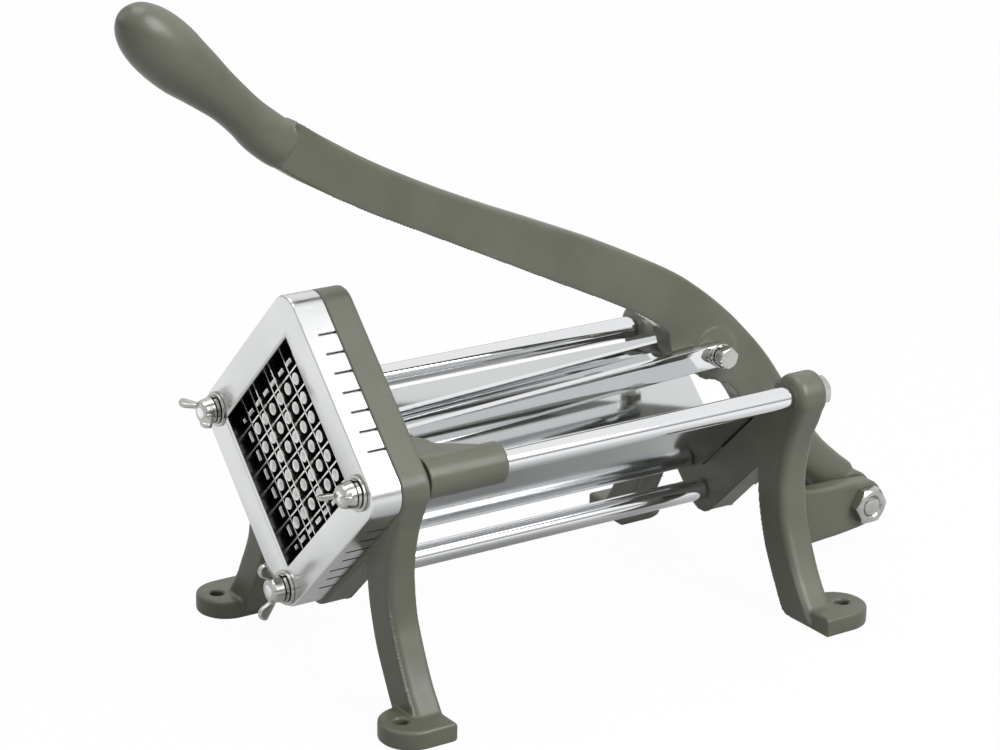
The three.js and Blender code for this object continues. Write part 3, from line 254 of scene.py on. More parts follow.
def maths(nodes, links, operation, first, second=None):
    """One Math node; each input is a socket or a number."""
    made = nodes.new("ShaderNodeMath")
    made.operation = operation
    for socket, value in zip(made.inputs, (first, second)):
        if isinstance(value, bpy.types.NodeSocket):
            links.new(value, socket)
        elif value is not None:
            socket.default_value = value
    return made.outputs[0]


def position(nodes, links):
    """The X, Y and Z of the piece's own coordinates."""
    where = nodes.new("ShaderNodeTexCoord")
    part = nodes.new("ShaderNodeSeparateXYZ")
    links.new(where.outputs["Object"], part.inputs["Vector"])
    return part.outputs["X"], part.outputs["Y"], part.outputs["Z"]


def spread(nodes, links, value, low, high):
    """A value mapped from a low and a high to 0 and 1, and held there."""
    made = nodes.new("ShaderNodeMapRange")
    made.inputs["From Min"].default_value = low
    made.inputs["From Max"].default_value = high
    links.new(value, made.inputs["Value"])
    return made.outputs["Result"]


def blend(nodes, links, share, first, second):
    """A colour mixed from two by a share; each colour is a socket or three numbers."""
    made = nodes.new("ShaderNodeMix")
    made.data_type = "RGBA"
    links.new(share, made.inputs["Factor"])
    for socket, value in ((made.inputs[6], first), (made.inputs[7], second)):
        if isinstance(value, bpy.types.NodeSocket):
            links.new(value, socket)
        else:
            socket.default_value = (*value, 1)
    return made.outputs[2]


def cast_enamel():
    """Olive-grey sprayed enamel: faint clouding, an orange-peel skin over cast pitting, and a
    satin gloss that varies a little."""
    material, nodes, links, shader = new_material("cast_enamel")
    clouds = noise(nodes, links, 28, 4)
    links.new(
        ramp(nodes, links, clouds, [(0.3, (0.112, 0.118, 0.086)), (0.7, (0.138, 0.145, 0.108))]),
        shader.inputs["Base Color"],
    )
    links.new(ramp(nodes, links, noise(nodes, links, 90, 3), [(0.3, grey(0.33)), (0.7, grey(0.42))]),
              shader.inputs["Roughness"])
    skin, pits = noise(nodes, links, 130, 2), noise(nodes, links, 650, 2)
    bump(nodes, links, shader, [(skin, 0.08), (pits, 0.05)], 0.0006)
    shader.inputs["Specular IOR Level"].default_value = 0.55
    return material


ENAMEL = cast_enamel()

LEG_OUTER = [
    [0.84, 0.882], [0.795, 0.808], [0.76, 0.7], [0.749, 0.587], [0.777, 0.44],
    [0.841, 0.318], [0.926, 0.19], [1.02, 0.088], [1.06, 0.04],
]
LEG_INNER = [
    [0.83, 0.018], [0.784, 0.066], [0.7, 0.178], [0.625, 0.29], [0.563, 0.432],
    [0.533, 0.551], [0.522, 0.637],
]
HALF_DIAGONAL = 108.9 / ROOT_TWO
OPENING_REACH = 36.7 * ROOT_TWO
FOOT_SPREAD = 81.3
FOOT_RADIUS = 14.4
FOOT_HEIGHT = 9.0
FOOT_HOLE = 3.25
FRONT_FOOT = (14.5, 29.5, 9.5)
LOWER_BOSS = 11.2
SOFT_EDGE = 4.4


def leg(spread):
    """A leg's outline: its outer curve down to the foot, then its inner curve back up."""
    scale = [spread, SIDE_ROD[1]]
    outer = curve_through(np.array(LEG_OUTER) * scale)
    inner = curve_through(np.array(LEG_INNER) * scale)
    return np.vstack([outer, [[outer[-1][0], 2.0]], inner])


def foot(side, nose, back, hole):
    """A foot pad as rings that run up its outer wall and down its bolt hole. Each ring is the
    plan's outline, or the hole's circle met by the rays from its centre through the plan."""
    x = side * FOOT_SPREAD
    ahead = np.sign(back - nose)
    plan = arc((x, nose), FOOT_RADIUS, 0, -180 * ahead, 49)
    straight = np.linspace(0, 1, 12)[1:, None]
    corner_a, corner_b = np.array([x - FOOT_RADIUS, back]), np.array([x + FOOT_RADIUS, back])
    plan = np.vstack([
        plan, plan[-1] + straight * (corner_a - plan[-1]),
        corner_a + straight * (corner_b - corner_a),
        corner_b + straight[:-1] * (plan[0] - corner_b),
    ])
    centre = np.array([x, hole])
    ray = plan - centre
    ray /= np.linalg.norm(ray, axis=1, keepdims=True)
    round_in = 1.2
    rings = [
        (plan - ray * round_in, 0.0), (plan - ray * 0.3, 0.35), (plan, round_in),
        (plan, FOOT_HEIGHT - round_in), (plan - ray * 0.35, FOOT_HEIGHT - 0.4),
        (plan - ray * round_in, FOOT_HEIGHT), (centre + ray * (FOOT_HOLE + 0.5), FOOT_HEIGHT),
        (centre + ray * FOOT_HOLE, FOOT_HEIGHT - 0.6), (centre + ray * FOOT_HOLE, 0.0),
    ]
    count = len(plan)
    points = np.vstack([np.insert(ring, 2, height, axis=1) for ring, height in rings])
    return points, grid_faces(len(rings), count, close_rows=True)


def soft_rim(outline, top, spread):
    """The rounding of each point's front edge: SOFT_EDGE on the leg's outer side below a
    height, 0.6 elsewhere. Outer points are the ones beyond the leg's middle line."""
    across, up = np.abs(outline[:, 0]), outline[:, 1]
    middle = np.interp(up / SIDE_ROD[1], [0.02, 0.18, 0.43, 0.6, 0.8], [0.94, 0.8, 0.67, 0.64, 0.6]) * spread
    outer = across > middle
    return np.where(outer, np.interp(up, [2.0, 8.0, top - 14.0, top], [1.2, SOFT_EDGE, SOFT_EDGE, 0.6]), 0.6)


def front_half(side):
    """One half of the casting, a little past the middle so that the two halves merge."""
    over = -0.5
    inset = 11.3 * ROOT_TWO
    half = np.vstack([
        [[over, BLOCK_CENTRE + HALF_DIAGONAL - inset + 11.3]],
        arc((0, BLOCK_CENTRE + HALF_DIAGONAL - inset), 11.3, 90, 45),
        arc((HALF_DIAGONAL - inset, BLOCK_CENTRE), 11.3, 45, -30),
        leg(FOOT_SPREAD),
        arc(BOTTOM_ROD, LOWER_BOSS, -45, -90),
        [[over, BOTTOM_ROD[1] - LOWER_BOSS], [over, BLOCK_CENTRE - OPENING_REACH]],
        [[0, BLOCK_CENTRE - OPENING_REACH], [OPENING_REACH, BLOCK_CENTRE]],
        [[0, BLOCK_CENTRE + OPENING_REACH], [over, BLOCK_CENTRE + OPENING_REACH]],
    ])
    half = denser(half)
    rim = soft_rim(half, 98.0, FOOT_SPREAD)
    return slab(half * [side, 1], *FRONT_CASTING_Y, axis=1, edge=rim, steps=6, far_edge=0.9)


front_casting = cast("front_casting", [
    front_half(1), front_half(-1), foot(1, *FRONT_FOOT), foot(-1, *FRONT_FOOT),
], grain=0.75, rounds=3)
finish_piece(front_casting, ENAMEL, "base", "cast_enamel", "front_frame")

# ------------------------------------------------------------------ Rear casting
# A V-topped plate that carries the rods' rear ends and the trough, on two legs like the
# front ones, with a clevis of two arms behind it. Cast and sprayed like the front casting.

REAR_CASTING_Y = (232.4, 247.4)
PIVOT = (320.3, 24.6)
REAR_LEG_SPREAD = 80.2
REAR_FOOT = (251.6, 234.6, 254.7)
CLEVIS_TOP = [[-0.03, 2.5], [0.183, 2.48], [0.318, 2.11], [0.434, 1.68], [0.531, 1.537], [0.8, 1.504]]
CLEVIS_UNDERSIDE = [[1.02, 0.5], [0.94, 0.463], [0.783, 0.415]]
CLEVIS_FORWARD = {
    1: [[0.497, 0.366], [0.487, 1.045], [0.434, 1.374]],
    -1: [[0.613, 0.358], [0.609, 1.126], [0.483, 1.374]],
}
CLEVIS_ROOT = [[0.318, 1.78], [0.163, 2.1], [-0.03, 2.17]]


def rear_plate():
    """The plate and legs: half an outline, and its mirror image in reverse order."""
    boss = 10.8
    low = BLOCK_CENTRE - OPENING_REACH
    clear = (SIDE_ROD[0] + low - SIDE_ROD[1]) / ROOT_TWO
    turn = np.degrees(np.arccos(clear / boss))
    half = np.vstack([
        [[0, low]],
        arc(SIDE_ROD, boss, 135 + turn, -35, 60),
        leg(REAR_LEG_SPREAD)[1:],
        arc(BOTTOM_ROD, LOWER_BOSS, -45, -90),
    ])
    outline = denser(np.vstack([half, (half * [-1, 1])[::-1][1:-1]]))
    rim = soft_rim(outline, 400.0, REAR_LEG_SPREAD)
    rim = np.where(np.abs(outline[:, 0]) > 52, rim, 0.6)
    return slab(outline, *REAR_CASTING_Y, axis=1, edge=np.minimum(rim, 3.8), steps=6, far_edge=1.4)


def clevis_arm(side):
    """One arm, seen from the side: curved top, round end about the pivot, stepped underside."""
    back = REAR_CASTING_Y[1]
    scale, start = [PIVOT[0] - back, PIVOT[1]], [back, 0]
    outline = denser(np.vstack([
        curve_through(np.array(CLEVIS_TOP) * scale + start, 40),
        arc(PIVOT, 11.6, 75, -50, 30),
        np.array(CLEVIS_UNDERSIDE + CLEVIS_FORWARD[side] + CLEVIS_ROOT) * scale + start,
    ]))
    low, high = sorted([side * 10.0, side * 20.0])
    return slab(outline, low, high, axis=0, edge=1.8, steps=5)


rear_casting = cast("rear_casting", [
    rear_plate(), clevis_arm(1), clevis_arm(-1),
    foot(1, *REAR_FOOT), foot(-1, *REAR_FOOT),
], grain=0.75, rounds=3)
finish_piece(rear_casting, ENAMEL, "base", "cast_enamel", "rear_frame")

# ------------------------------------------------------------------ Blade block
# A square aluminium plate that stands on its corner and holds the blades in slots cut
# from the back. Milled all over, its front edges broken, and clamped by three wing nuts.

BLOCK_BACK = 15.2
GRID_PITCH = 9.525
CELLS = 8
BLOCK_RADIUS = 11.5


def rounded_diamond(half_side, radius, count=24):
    """A square on its corner whose corners are quarter circles."""
    reach = (half_side - radius) * ROOT_TWO
    corners = [(reach, 0, -45), (0, reach, 45), (-reach, 0, 135), (0, -reach, 225)]
    return np.vstack([arc((x, BLOCK_CENTRE + z), radius, turn, turn + 90, count) for x, z, turn in corners])


def block_shell():
    """Rings of one count: the outer outline with its rounded front edge, and the square
    opening met by the rays from the middle, with a broken front edge."""
    count = 24
    outer = rounded_diamond(54.45, BLOCK_RADIUS, count)
    middle = np.array([0, BLOCK_CENTRE])
    ray = outer - middle
    reach = GRID_PITCH * CELLS / 2 * ROOT_TWO
    opening = middle + ray * (reach / np.abs(ray).sum(1))[:, None]
    corner = np.arange(4) * count + count // 2
    exact = middle + reach * np.array([[1, 0], [0, 1], [-1, 0], [0, -1]], float)
    opening[corner] = exact
    unit = ray / np.linalg.norm(ray, axis=1, keepdims=True)
    edge = 1.0
    rings = [
        (outer - unit * edge * 1.3, 0.0), (outer - unit * edge, 0.0), (outer - unit * 0.3, 0.28),
        (outer, edge), (outer, edge * 1.4), (outer, BLOCK_BACK - 0.3), (outer - unit * 0.3, BLOCK_BACK),
        (opening, BLOCK_BACK), (opening, 1.1), (middle + (opening - middle) * 1.014, 0.25),
        (middle + (opening - middle) * 1.026, 0.0),
    ]
    points = np.vstack([np.insert(ring, 1, y, axis=1) for ring, y in rings])
    return points, grid_faces(len(rings), len(outer), close_rows=True)


def slot_cutters():
    """Fourteen thin boxes: the corners of one box, moved by whole pitches and turned by 45
    degrees either way about the block's middle. Two reach further forward than the rest."""
    unit = np.array([[x, y, z] for x in (-1, 1) for y in (-1, 1) for z in (-1, 1)], float)
    faces = [[0, 1, 3, 2], [4, 6, 7, 5], [0, 4, 5, 1], [2, 3, 7, 6], [0, 2, 6, 4], [1, 5, 7, 3]]
    shells = []
    for slope in (1, -1):
        for i in range(1, CELLS):
            front = 3.7 if slope < 0 and i in (3, 5) else 6.1
            box = unit * [0.7, 7.0, 60.0] + [0, front + 7.0, 0]
            moved = box + [(i - CELLS / 2) * GRID_PITCH, 0, 0]
            c, s = np.cos(np.pi / 4), slope * np.sin(np.pi / 4)
            turned = moved @ np.array([[c, 0, -s], [0, 1, 0], [s, 0, c]])
            shells.append((turned + [0, 0, BLOCK_CENTRE], faces))
    return shells


def sharpen(made, degrees=32):
    """Smooth faces, with every edge sharper than the angle kept crisp."""
    made.data.polygons.foreach_set("use_smooth", np.ones(len(made.data.polygons), bool))
    made.data.set_sharp_from_angle(angle=np.radians(degrees))
    return made


def machined_aluminium():
    """Milled aluminium: satin face with very fine parallel tool marks at 45 degrees and faint
    clouding. The opening's walls, found by their distance from the middle, get painted shade."""
    material, nodes, links, shader = new_material("machined_aluminium", 1.0)
    marks = noise(nodes, links, 160, 3, (1, 1, 24), (0, np.pi / 4, 0))
    cloud = noise(nodes, links, 22, 4)
    bright = ramp(nodes, links, cloud, [(0.3, (0.66, 0.675, 0.672)), (0.75, (0.72, 0.732, 0.728))])
    x, y, z = position(nodes, links)
    across = maths(nodes, links, "ABSOLUTE", x)
    upward = maths(nodes, links, "ABSOLUTE", maths(nodes, links, "SUBTRACT", z, BLOCK_CENTRE * MM))
    reach = maths(nodes, links, "ADD", across, upward)
    outside = spread(nodes, links, reach, 53.95 * MM, 54.5 * MM)
    behind = spread(nodes, links, y, BLOCK_FACE_Y + 0.8 * MM, BLOCK_FACE_Y + 1.3 * MM)
    unshaded_faces = maths(nodes, links, "MAXIMUM", outside, maths(nodes, links, "SUBTRACT", 1.0, behind))
    # Painted shade: the opening's walls take a dark grey, while the front face and outer sides keep the
    # bright metal.
    links.new(blend(nodes, links, unshaded_faces, (0.16, 0.16, 0.165), bright), shader.inputs["Base Color"])
    links.new(ramp(nodes, links, marks, [(0.3, grey(0.19)), (0.7, grey(0.27))]), shader.inputs["Roughness"])
    bump(nodes, links, shader, [(marks, 0.03)], 0.0002)
    return material


ALUMINIUM = machined_aluminium()
block = body_mesh("blade_block_milled", [block_shell()])
cutters = body_mesh("slot_cutters", slot_cutters())
slots = block.modifiers.new("slots", "BOOLEAN")
slots.operation = "DIFFERENCE"
slots.solver = "EXACT"
slots.use_self = True
slots.object = cutters
settle(block)
bpy.data.objects.remove(cutters)
sharpen(block)
finish_piece(block, ALUMINIUM, "base", "machined_aluminium", "blade_block")

# ------------------------------------------------------------------ Blades
# Fourteen strips of blade steel, half notched at each crossing and slid together like the
# dividers of an egg box. Their shapes come from the CAD; here they get their finish.


def blade_steel():
    """Ground strip: dark, half-glossy sides with fine lengthwise scratches, and a bright band
    along the front edge where each blade is honed."""
    material, nodes, links, shader = new_material("blade_steel", 1.0)
    cloud = noise(nodes, links, 60, 4)
    haze = ramp(nodes, links, cloud, [(0.3, (0.20, 0.20, 0.195)), (0.7, (0.30, 0.30, 0.29))])
    y = position(nodes, links)[1]
    honed = spread(nodes, links, y, BLOCK_FACE_Y + 6.35 * MM, BLOCK_FACE_Y + 6.25 * MM)
    links.new(blend(nodes, links, honed, haze, (0.72, 0.72, 0.70)), shader.inputs["Base Color"])
    scratch = noise(nodes, links, 300, 2, (1, 14, 1))
    links.new(ramp(nodes, links, scratch, [(0.3, grey(0.16)), (0.7, grey(0.28))]), shader.inputs["Roughness"])
    bump(nodes, links, shader, [(scratch, 0.03)], 0.0002)
    return material


BLADE_STEEL = blade_steel()
for name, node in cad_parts.items():
    if name.startswith("blade_") and name != "blade_block":
        node.data.materials.clear()
        node.data.materials.append(BLADE_STEEL)

# ------------------------------------------------------------------ Trough
# One stainless sheet, mirror polished and folded to a right-angled V, that lies in the
# openings of both castings and guides the pusher.


def polished_steel(name, base, roughness):
    """Mirror-polished steel: its tone drifts a little over the part, and a faint haze makes
    some places less sharp than others."""
    material, nodes, links, shader = new_material(name, 1.0)
    tint = noise(nodes, links, 9, 2)
    lower = tuple(0.96 * value for value in base)
    links.new(ramp(nodes, links, tint, [(0.3, lower), (0.7, base)]), shader.inputs["Base Color"])
    haze = noise(nodes, links, 14, 3)
    links.new(ramp(nodes, links, haze, [(0.35, grey(roughness)), (0.75, grey(roughness * 1.6))]),
              shader.inputs["Roughness"])
    return material


SHEET_STEEL = polished_steel("polished_sheet", (0.64, 0.655, 0.66), 0.07)


def trough_shell():
    """The folded section, outer side out and inner side back, carried along y. Points close
    to each bend keep the walls' shading flat."""
    vertex = BLOCK_CENTRE - 36.4 * ROOT_TWO
    outer, inner, sheet = 3.2, 2.0, 1.2
    centre = (0, vertex + outer * ROOT_TWO)
    edge, step = 50.0, 1.2 / ROOT_TWO
    outer_bend = arc(centre, outer, 225, 315, 17)
    inner_bend = arc(centre, inner, 315, 225, 17)
    tip_out, tip_in = np.array([edge, vertex + edge]), np.array([edge - step, vertex + edge + step])
    lean = np.array([1, 1]) / ROOT_TWO * 0.3
    flip = [-1, 1]
    section = np.vstack([
        outer_bend, [outer_bend[-1] + lean], [tip_out - lean], [tip_out], [tip_in], [tip_in - lean],
        [inner_bend[0] + lean], inner_bend, [(inner_bend[0] + lean) * flip], [(tip_in - lean) * flip],
        [tip_in * flip], [tip_out * flip], [(tip_out - lean) * flip], [(outer_bend[-1] + lean) * flip],
    ])
    return slab(section, 15.4, 247.4, axis=1)


trough = sharpen(body_mesh("trough_sheet", [trough_shell()]))
finish_piece(trough, SHEET_STEEL, "base", "polished_steel", "trough")

# ------------------------------------------------------------------ Tie rods
# Three bright bars between the castings, turned down at the front to threaded studs and
# tapped at the back for a hex bolt each. The pusher runs on the two side rods.

ROD_STEEL = polished_steel("polished_rod", (0.80, 0.81, 0.825), 0.055)
ROD_RADIUS = 5.35
STUD_RADIUS = 3.9
THREAD_PITCH = 1.25


def thread_profile(start, end):
    """Places along a thread, eight to each turn."""
    return np.arange(start, end, THREAD_PITCH / 8)


def threaded(radius, angle, along):
    """A screw thread: the radius drops by 0.45 mm times a triangle wave of the place along
    the stud over the pitch, less the share of a turn, and by nothing on plain rings."""
    wave = np.abs(((along / THREAD_PITCH - angle / (2 * np.pi)) % 1) * 2 - 1)
    on_stud = (radius > STUD_RADIUS - 0.01) & (radius < STUD_RADIUS + 0.01)
    return np.where(on_stud & (along < 1.0), radius - 0.45 * wave, radius)


def rod_shell(centre):
    """A bar with broken ends, its stud and the stud's domed tip."""
    low, high = FRONT_CASTING_Y[1] + 0.1, REAR_CASTING_Y[0] - 0.1
    thread = [(STUD_RADIUS, y) for y in thread_profile(-8.6, 1.0)]
    profile = [
        (1.2, -9.3), (2.3, -9.2), (2.95, -8.95), (3.3, -8.7), *thread, (STUD_RADIUS, low),
        (ROD_RADIUS - 0.8, low), (ROD_RADIUS - 0.05, low + 0.75),
        (ROD_RADIUS, low + 0.8), (ROD_RADIUS, low + 1.2),
        (ROD_RADIUS, high - 1.6), (ROD_RADIUS, high - 1.2), (ROD_RADIUS - 0.3, high - 0.7),
        (ROD_RADIUS - 1.1, high),
    ]
    return around(centre, profile, 72, squash=threaded)


ROD_PLACES = {"right": SIDE_ROD, "left": (-SIDE_ROD[0], SIDE_ROD[1]), "bottom": BOTTOM_ROD}
for name, centre in ROD_PLACES.items():
    rod = sharpen(body_mesh(f"bright_rod_{name}", [rod_shell(centre)]), 40)
    finish_piece(rod, ROD_STEEL, "base", "polished_steel", f"tie_rod_{name}")

# ------------------------------------------------------------------ Rod fasteners
# A flat washer, a split spring washer and a wing nut on each front stud, and a hex bolt in
# each rod's rear end. Cold-formed steel, bright nickel plated.


def bright_plate():
    """Nickel plate over formed steel: warm light grey, soft waves, a few dull specks."""
    material, nodes, links, shader = new_material("nickel_plate", 1.0)
    tone = noise(nodes, links, 120, 3)
    links.new(ramp(nodes, links, tone, [(0.3, (0.43, 0.425, 0.40)), (0.7, (0.54, 0.535, 0.51))]),
              shader.inputs["Base Color"])
    links.new(ramp(nodes, links, noise(nodes, links, 380, 3), [(0.3, grey(0.12)), (0.75, grey(0.26))]),
              shader.inputs["Roughness"])
    waves, specks = noise(nodes, links, 260, 2), noise(nodes, links, 1400, 2)
    bump(nodes, links, shader, [(waves, 0.05), (specks, 0.03)], 0.0004)
    return material


NICKEL = bright_plate()
WASHER_BACK = -0.1
LOCK_BACK = WASHER_BACK - 1.5
NUT_BACK = LOCK_BACK - 1.9


def washer_shell(centre, inner, outer, low, high, axis=1, soft=0.25):
    """A flat ring with small round edges, as a closed profile turned about its axis."""
    corners = [(inner, low), (outer, low), (outer, high), (inner, high)]
    turns = [180, 270, 0, 90]
    signs = [(1, 1), (-1, 1), (-1, -1), (1, -1)]
    profile = np.vstack([
        arc((r + sr * soft, y + sy * soft), soft, turn, turn + 90, 4)
        for (r, y), turn, (sr, sy) in zip(corners, turns, signs)
    ])
    return around(centre, profile, 48, axis, closed=True)


def spring_washer_shell(centre, inner, outer, back, thickness, axis=1, start=70):
    """A square bar wound into one helical turn with a slit: each section is the bar's
    rectangle at its angle, and its place along the axis grows with the share of the turn."""
    turn = np.radians(np.linspace(start + 5, start + 355, 61))[:, None]
    rise = np.linspace(0.0, 0.45, 61)[:, None]
    radius = np.array([inner, outer, outer, inner])[None]
    along = back + np.array([0, 0, -1, -1])[None] * (thickness - 0.45) - rise
    points = np.stack([centre[0] + radius * np.cos(turn), centre[1] + radius * np.sin(turn)], -1)
    points = np.insert(points.reshape(-1, 2), axis, along.ravel(), axis=1)
    return points, grid_faces(61, 4) + [[3, 2, 1, 0], [240, 241, 242, 243]]


def wing_nut_shells():
    """A conical hub and two leaves that lean forward and end in round lobes, about y."""
    back, front, span, lobe = NUT_BACK, NUT_BACK - 4.6, 13.5, 3.4
    hub = around((0, 0), [
        (4.1, front - 0.9), (4.9, front - 0.7), (5.4, front + 0.4), (6.1, back - 0.6), (6.3, back),
    ], 48)
    reach, tilt = span - lobe, front - lobe * 0.75
    outline = np.vstack([
        [[2.0, front + 3.2], [4.05, front + 2.85], [6.75, front + 2.3], [9.7, front + 0.46]],
        arc((reach, tilt), lobe, 10, -150, 20),
        [[4.7, front + 0.4], [2.0, front + 0.2]],
    ])
    shells = [hub]
    for side in (1, -1):
        points, faces = slab(outline, -1.2, 1.2, axis=2, edge=0.7)
        shells.append((points * [side, 1, side], faces))
    return shells


def turned_about_y(shell, degrees, centre):
    """Turns a shell about the y axis by an angle and moves it onto a rod's centre."""
    points, faces = shell
    c, s = np.cos(np.radians(degrees)), np.sin(np.radians(degrees))
    spun = points @ np.array([[c, 0, -s], [0, 1, 0], [s, 0, c]])
    return spun + [centre[0], 0, centre[1]], faces


def hex_shell(centre, flats, seat, face, axis, turn=0.0, bore=0.0):
    """A hexagon head: at each angle the radius is half the flats over the cosine of the
    angle from the nearest flat, limited by a 30 degree cone that starts at the face."""
    toward = np.sign(face - seat)
    depth = abs(face - seat)
    back = np.concatenate([np.linspace(0, 0.35, 9) * flats * 0.35, [depth * 0.6, depth - 0.25, depth]])
    limit = flats / 2 * 0.93 + back * np.sqrt(3)
    profile = np.stack([limit, face - toward * back], 1)

    def six_sides(radius, angle, along):
        nearest = (angle - np.radians(turn)) % (np.pi / 3) - np.pi / 6
        return np.minimum(radius, flats / 2 / np.cos(nearest))

    if not bore:
        return around(centre, profile, 96, axis, squash=six_sides)
    inner = [(bore, face - toward * depth), (bore, face - toward * 0.9), (bore + 0.9, face)]
    closed = np.vstack([profile, inner])

    def six_sides_outside(radius, angle, along):
        sides = six_sides(radius, angle, along)
        return np.where(np.arange(len(closed))[:, None] < len(profile), sides, radius)

    return around(centre, closed, 96, axis, closed=True, squash=six_sides_outside)


def plated(name, shells, crease, body, node):
    """A finished nickel-plated fastener, crisp at every edge sharper than the crease."""
    return finish_piece(sharpen(body_mesh(name, shells), crease), NICKEL, body, "zinc_plate", node)


WING_TURNS = {"right": -17, "left": 10, "bottom": 90}
for name, centre in ROD_PLACES.items():
    washer = washer_shell(centre, 4.2, 8.0, WASHER_BACK - 1.4, WASHER_BACK)
    plated(f"flat_washer_{name}", [washer], 50, "base", f"washer_{name}")
    spring = spring_washer_shell(centre, 4.2, 6.8, LOCK_BACK, 1.8)
    plated(f"spring_washer_{name}", [spring], 32, "base", f"lock_washer_{name}")
    shells = [turned_about_y(shell, WING_TURNS[name], centre) for shell in wing_nut_shells()]
    nut = cast(f"winged_nut_{name}", shells, grain=0.3, rounds=5)
    finish_piece(nut, NICKEL, f"wing_nut_{name}", "zinc_plate", f"wing_nut_{name}")
    bolt = hex_shell(centre, 13.0, 247.5, 253.3, 1, 30)
    plated(f"rod_bolt_{name}", [bolt], 25, "base", f"rear_bolt_{name}")

# ------------------------------------------------------------------ Pusher
# A casting with a square plate, a sleeve on each side rod, webs between them and a lug for
# the links. Cast in aluminium and sprayed like the castings; the sleeves are bored.

SLEEVE_Y = (31.0, 71.3)
PLATE_HALF = 34.7


def sleeve_shell(side):
    """A tube: its section's closed profile turned about the rod, with a rounded rear rim."""
    low, high = SLEEVE_Y
    inner, outer = ROD_RADIUS + 0.3, 9.4
    rim = arc((outer - 0.9, high - 0.9), 0.9, 0, 90, 6)
    profile = np.vstack([[[inner, low], [outer, low]], rim, [[inner, high]]])
    return around((side * SIDE_ROD[0], SIDE_ROD[1]), profile, 72, closed=True)


def web_shell(side):
    """A flat web from the plate's corner to the sleeve, drawn in plan."""
    start, front, back = 24.5, 35.9, SLEEVE_Y[1] - 0.8
    plan = np.array([
        [0, 0], [0, 0.2], [0.134, 0.39], [0.249, 0.457], [0.403, 0.46], [0.753, 0.98], [1, 0.98], [1, 0],
    ])
    across = side * (start + plan[:, 0] * (SIDE_ROD[0] - start))
    along = front + plan[:, 1] * (back - front)
    low, high = SIDE_ROD[1] - 2.0, SIDE_ROD[1] + 6.0
    return slab(denser(np.stack([across, along], 1)), low, high, axis=2, edge=0.6)


plate = slab(rounded_diamond(PLATE_HALF, 2.5, 8), 35.1, 41.3, axis=1, edge=0.6)
lug = slab(np.vstack([
    arc((52.5, 106.2), 5.75, -90, 90, 20), [[35.9, 117.0], [35.9, 95.0]],
]), -7.7, 7.7, axis=0, edge=0.6)
pusher = cast("pusher_casting", [
    plate, lug, sleeve_shell(1), sleeve_shell(-1), web_shell(1), web_shell(-1),
], grain=0.6, rounds=3)
finish_piece(pusher, ENAMEL, "pusher", "cast_enamel", "pusher_carrier")

# ------------------------------------------------------------------ Pin plate
# Sixty-four tapered pins on a square plate push the potato through the cells. Cast in
# aluminium and faced at the tips, with painted shade between the pins; two screws hold it.


def pin_metal():
    """Aluminium bright at the faced tips, with a painted highlight on their rims and painted shade
    that darkens each pin towards the plate: the colour follows the distance behind the tips."""
    material, nodes, links, shader = new_material("pin_aluminium", 1.0)
    y = position(nodes, links)[1]
    depth = spread(nodes, links, y, BLOCK_FACE_Y + 5.15 * MM, BLOCK_FACE_Y + 13.15 * MM)
    # Painted highlight at the tip rims, then painted shade that deepens towards the plate.
    colour = ramp(nodes, links, depth, [
        (0.0, (0.86, 0.86, 0.85)), (0.018, (0.80, 0.80, 0.79)), (0.045, (0.50, 0.50, 0.49)),
        (0.10, (0.22, 0.215, 0.205)), (0.45, (0.07, 0.07, 0.066)), (1.0, (0.015, 0.015, 0.014)),
    ])
    mottle = ramp(nodes, links, noise(nodes, links, 420, 3), [(0.3, grey(0.80)), (0.7, grey(1.0))])
    tinted = nodes.new("ShaderNodeMix")
    tinted.data_type, tinted.blend_type = "RGBA", "MULTIPLY"
    tinted.inputs["Factor"].default_value = 1.0
    links.new(colour, tinted.inputs[6])
    links.new(mottle, tinted.inputs[7])
    links.new(tinted.outputs[2], shader.inputs["Base Color"])
    links.new(ramp(nodes, links, noise(nodes, links, 500, 2), [(0.3, grey(0.26)), (0.7, grey(0.44))]),
              shader.inputs["Roughness"])
    bump(nodes, links, shader, [(noise(nodes, links, 700, 2), 0.1)], 0.0003)
    return material


PIN_METAL = pin_metal()
RIM_PIN_PLACE = 32.1
RIM_PIN_HALF_THICKNESS = 1.1
RIM_PIN_HALF_LENGTH = 2.65
PIN_RADIUS = 2.85


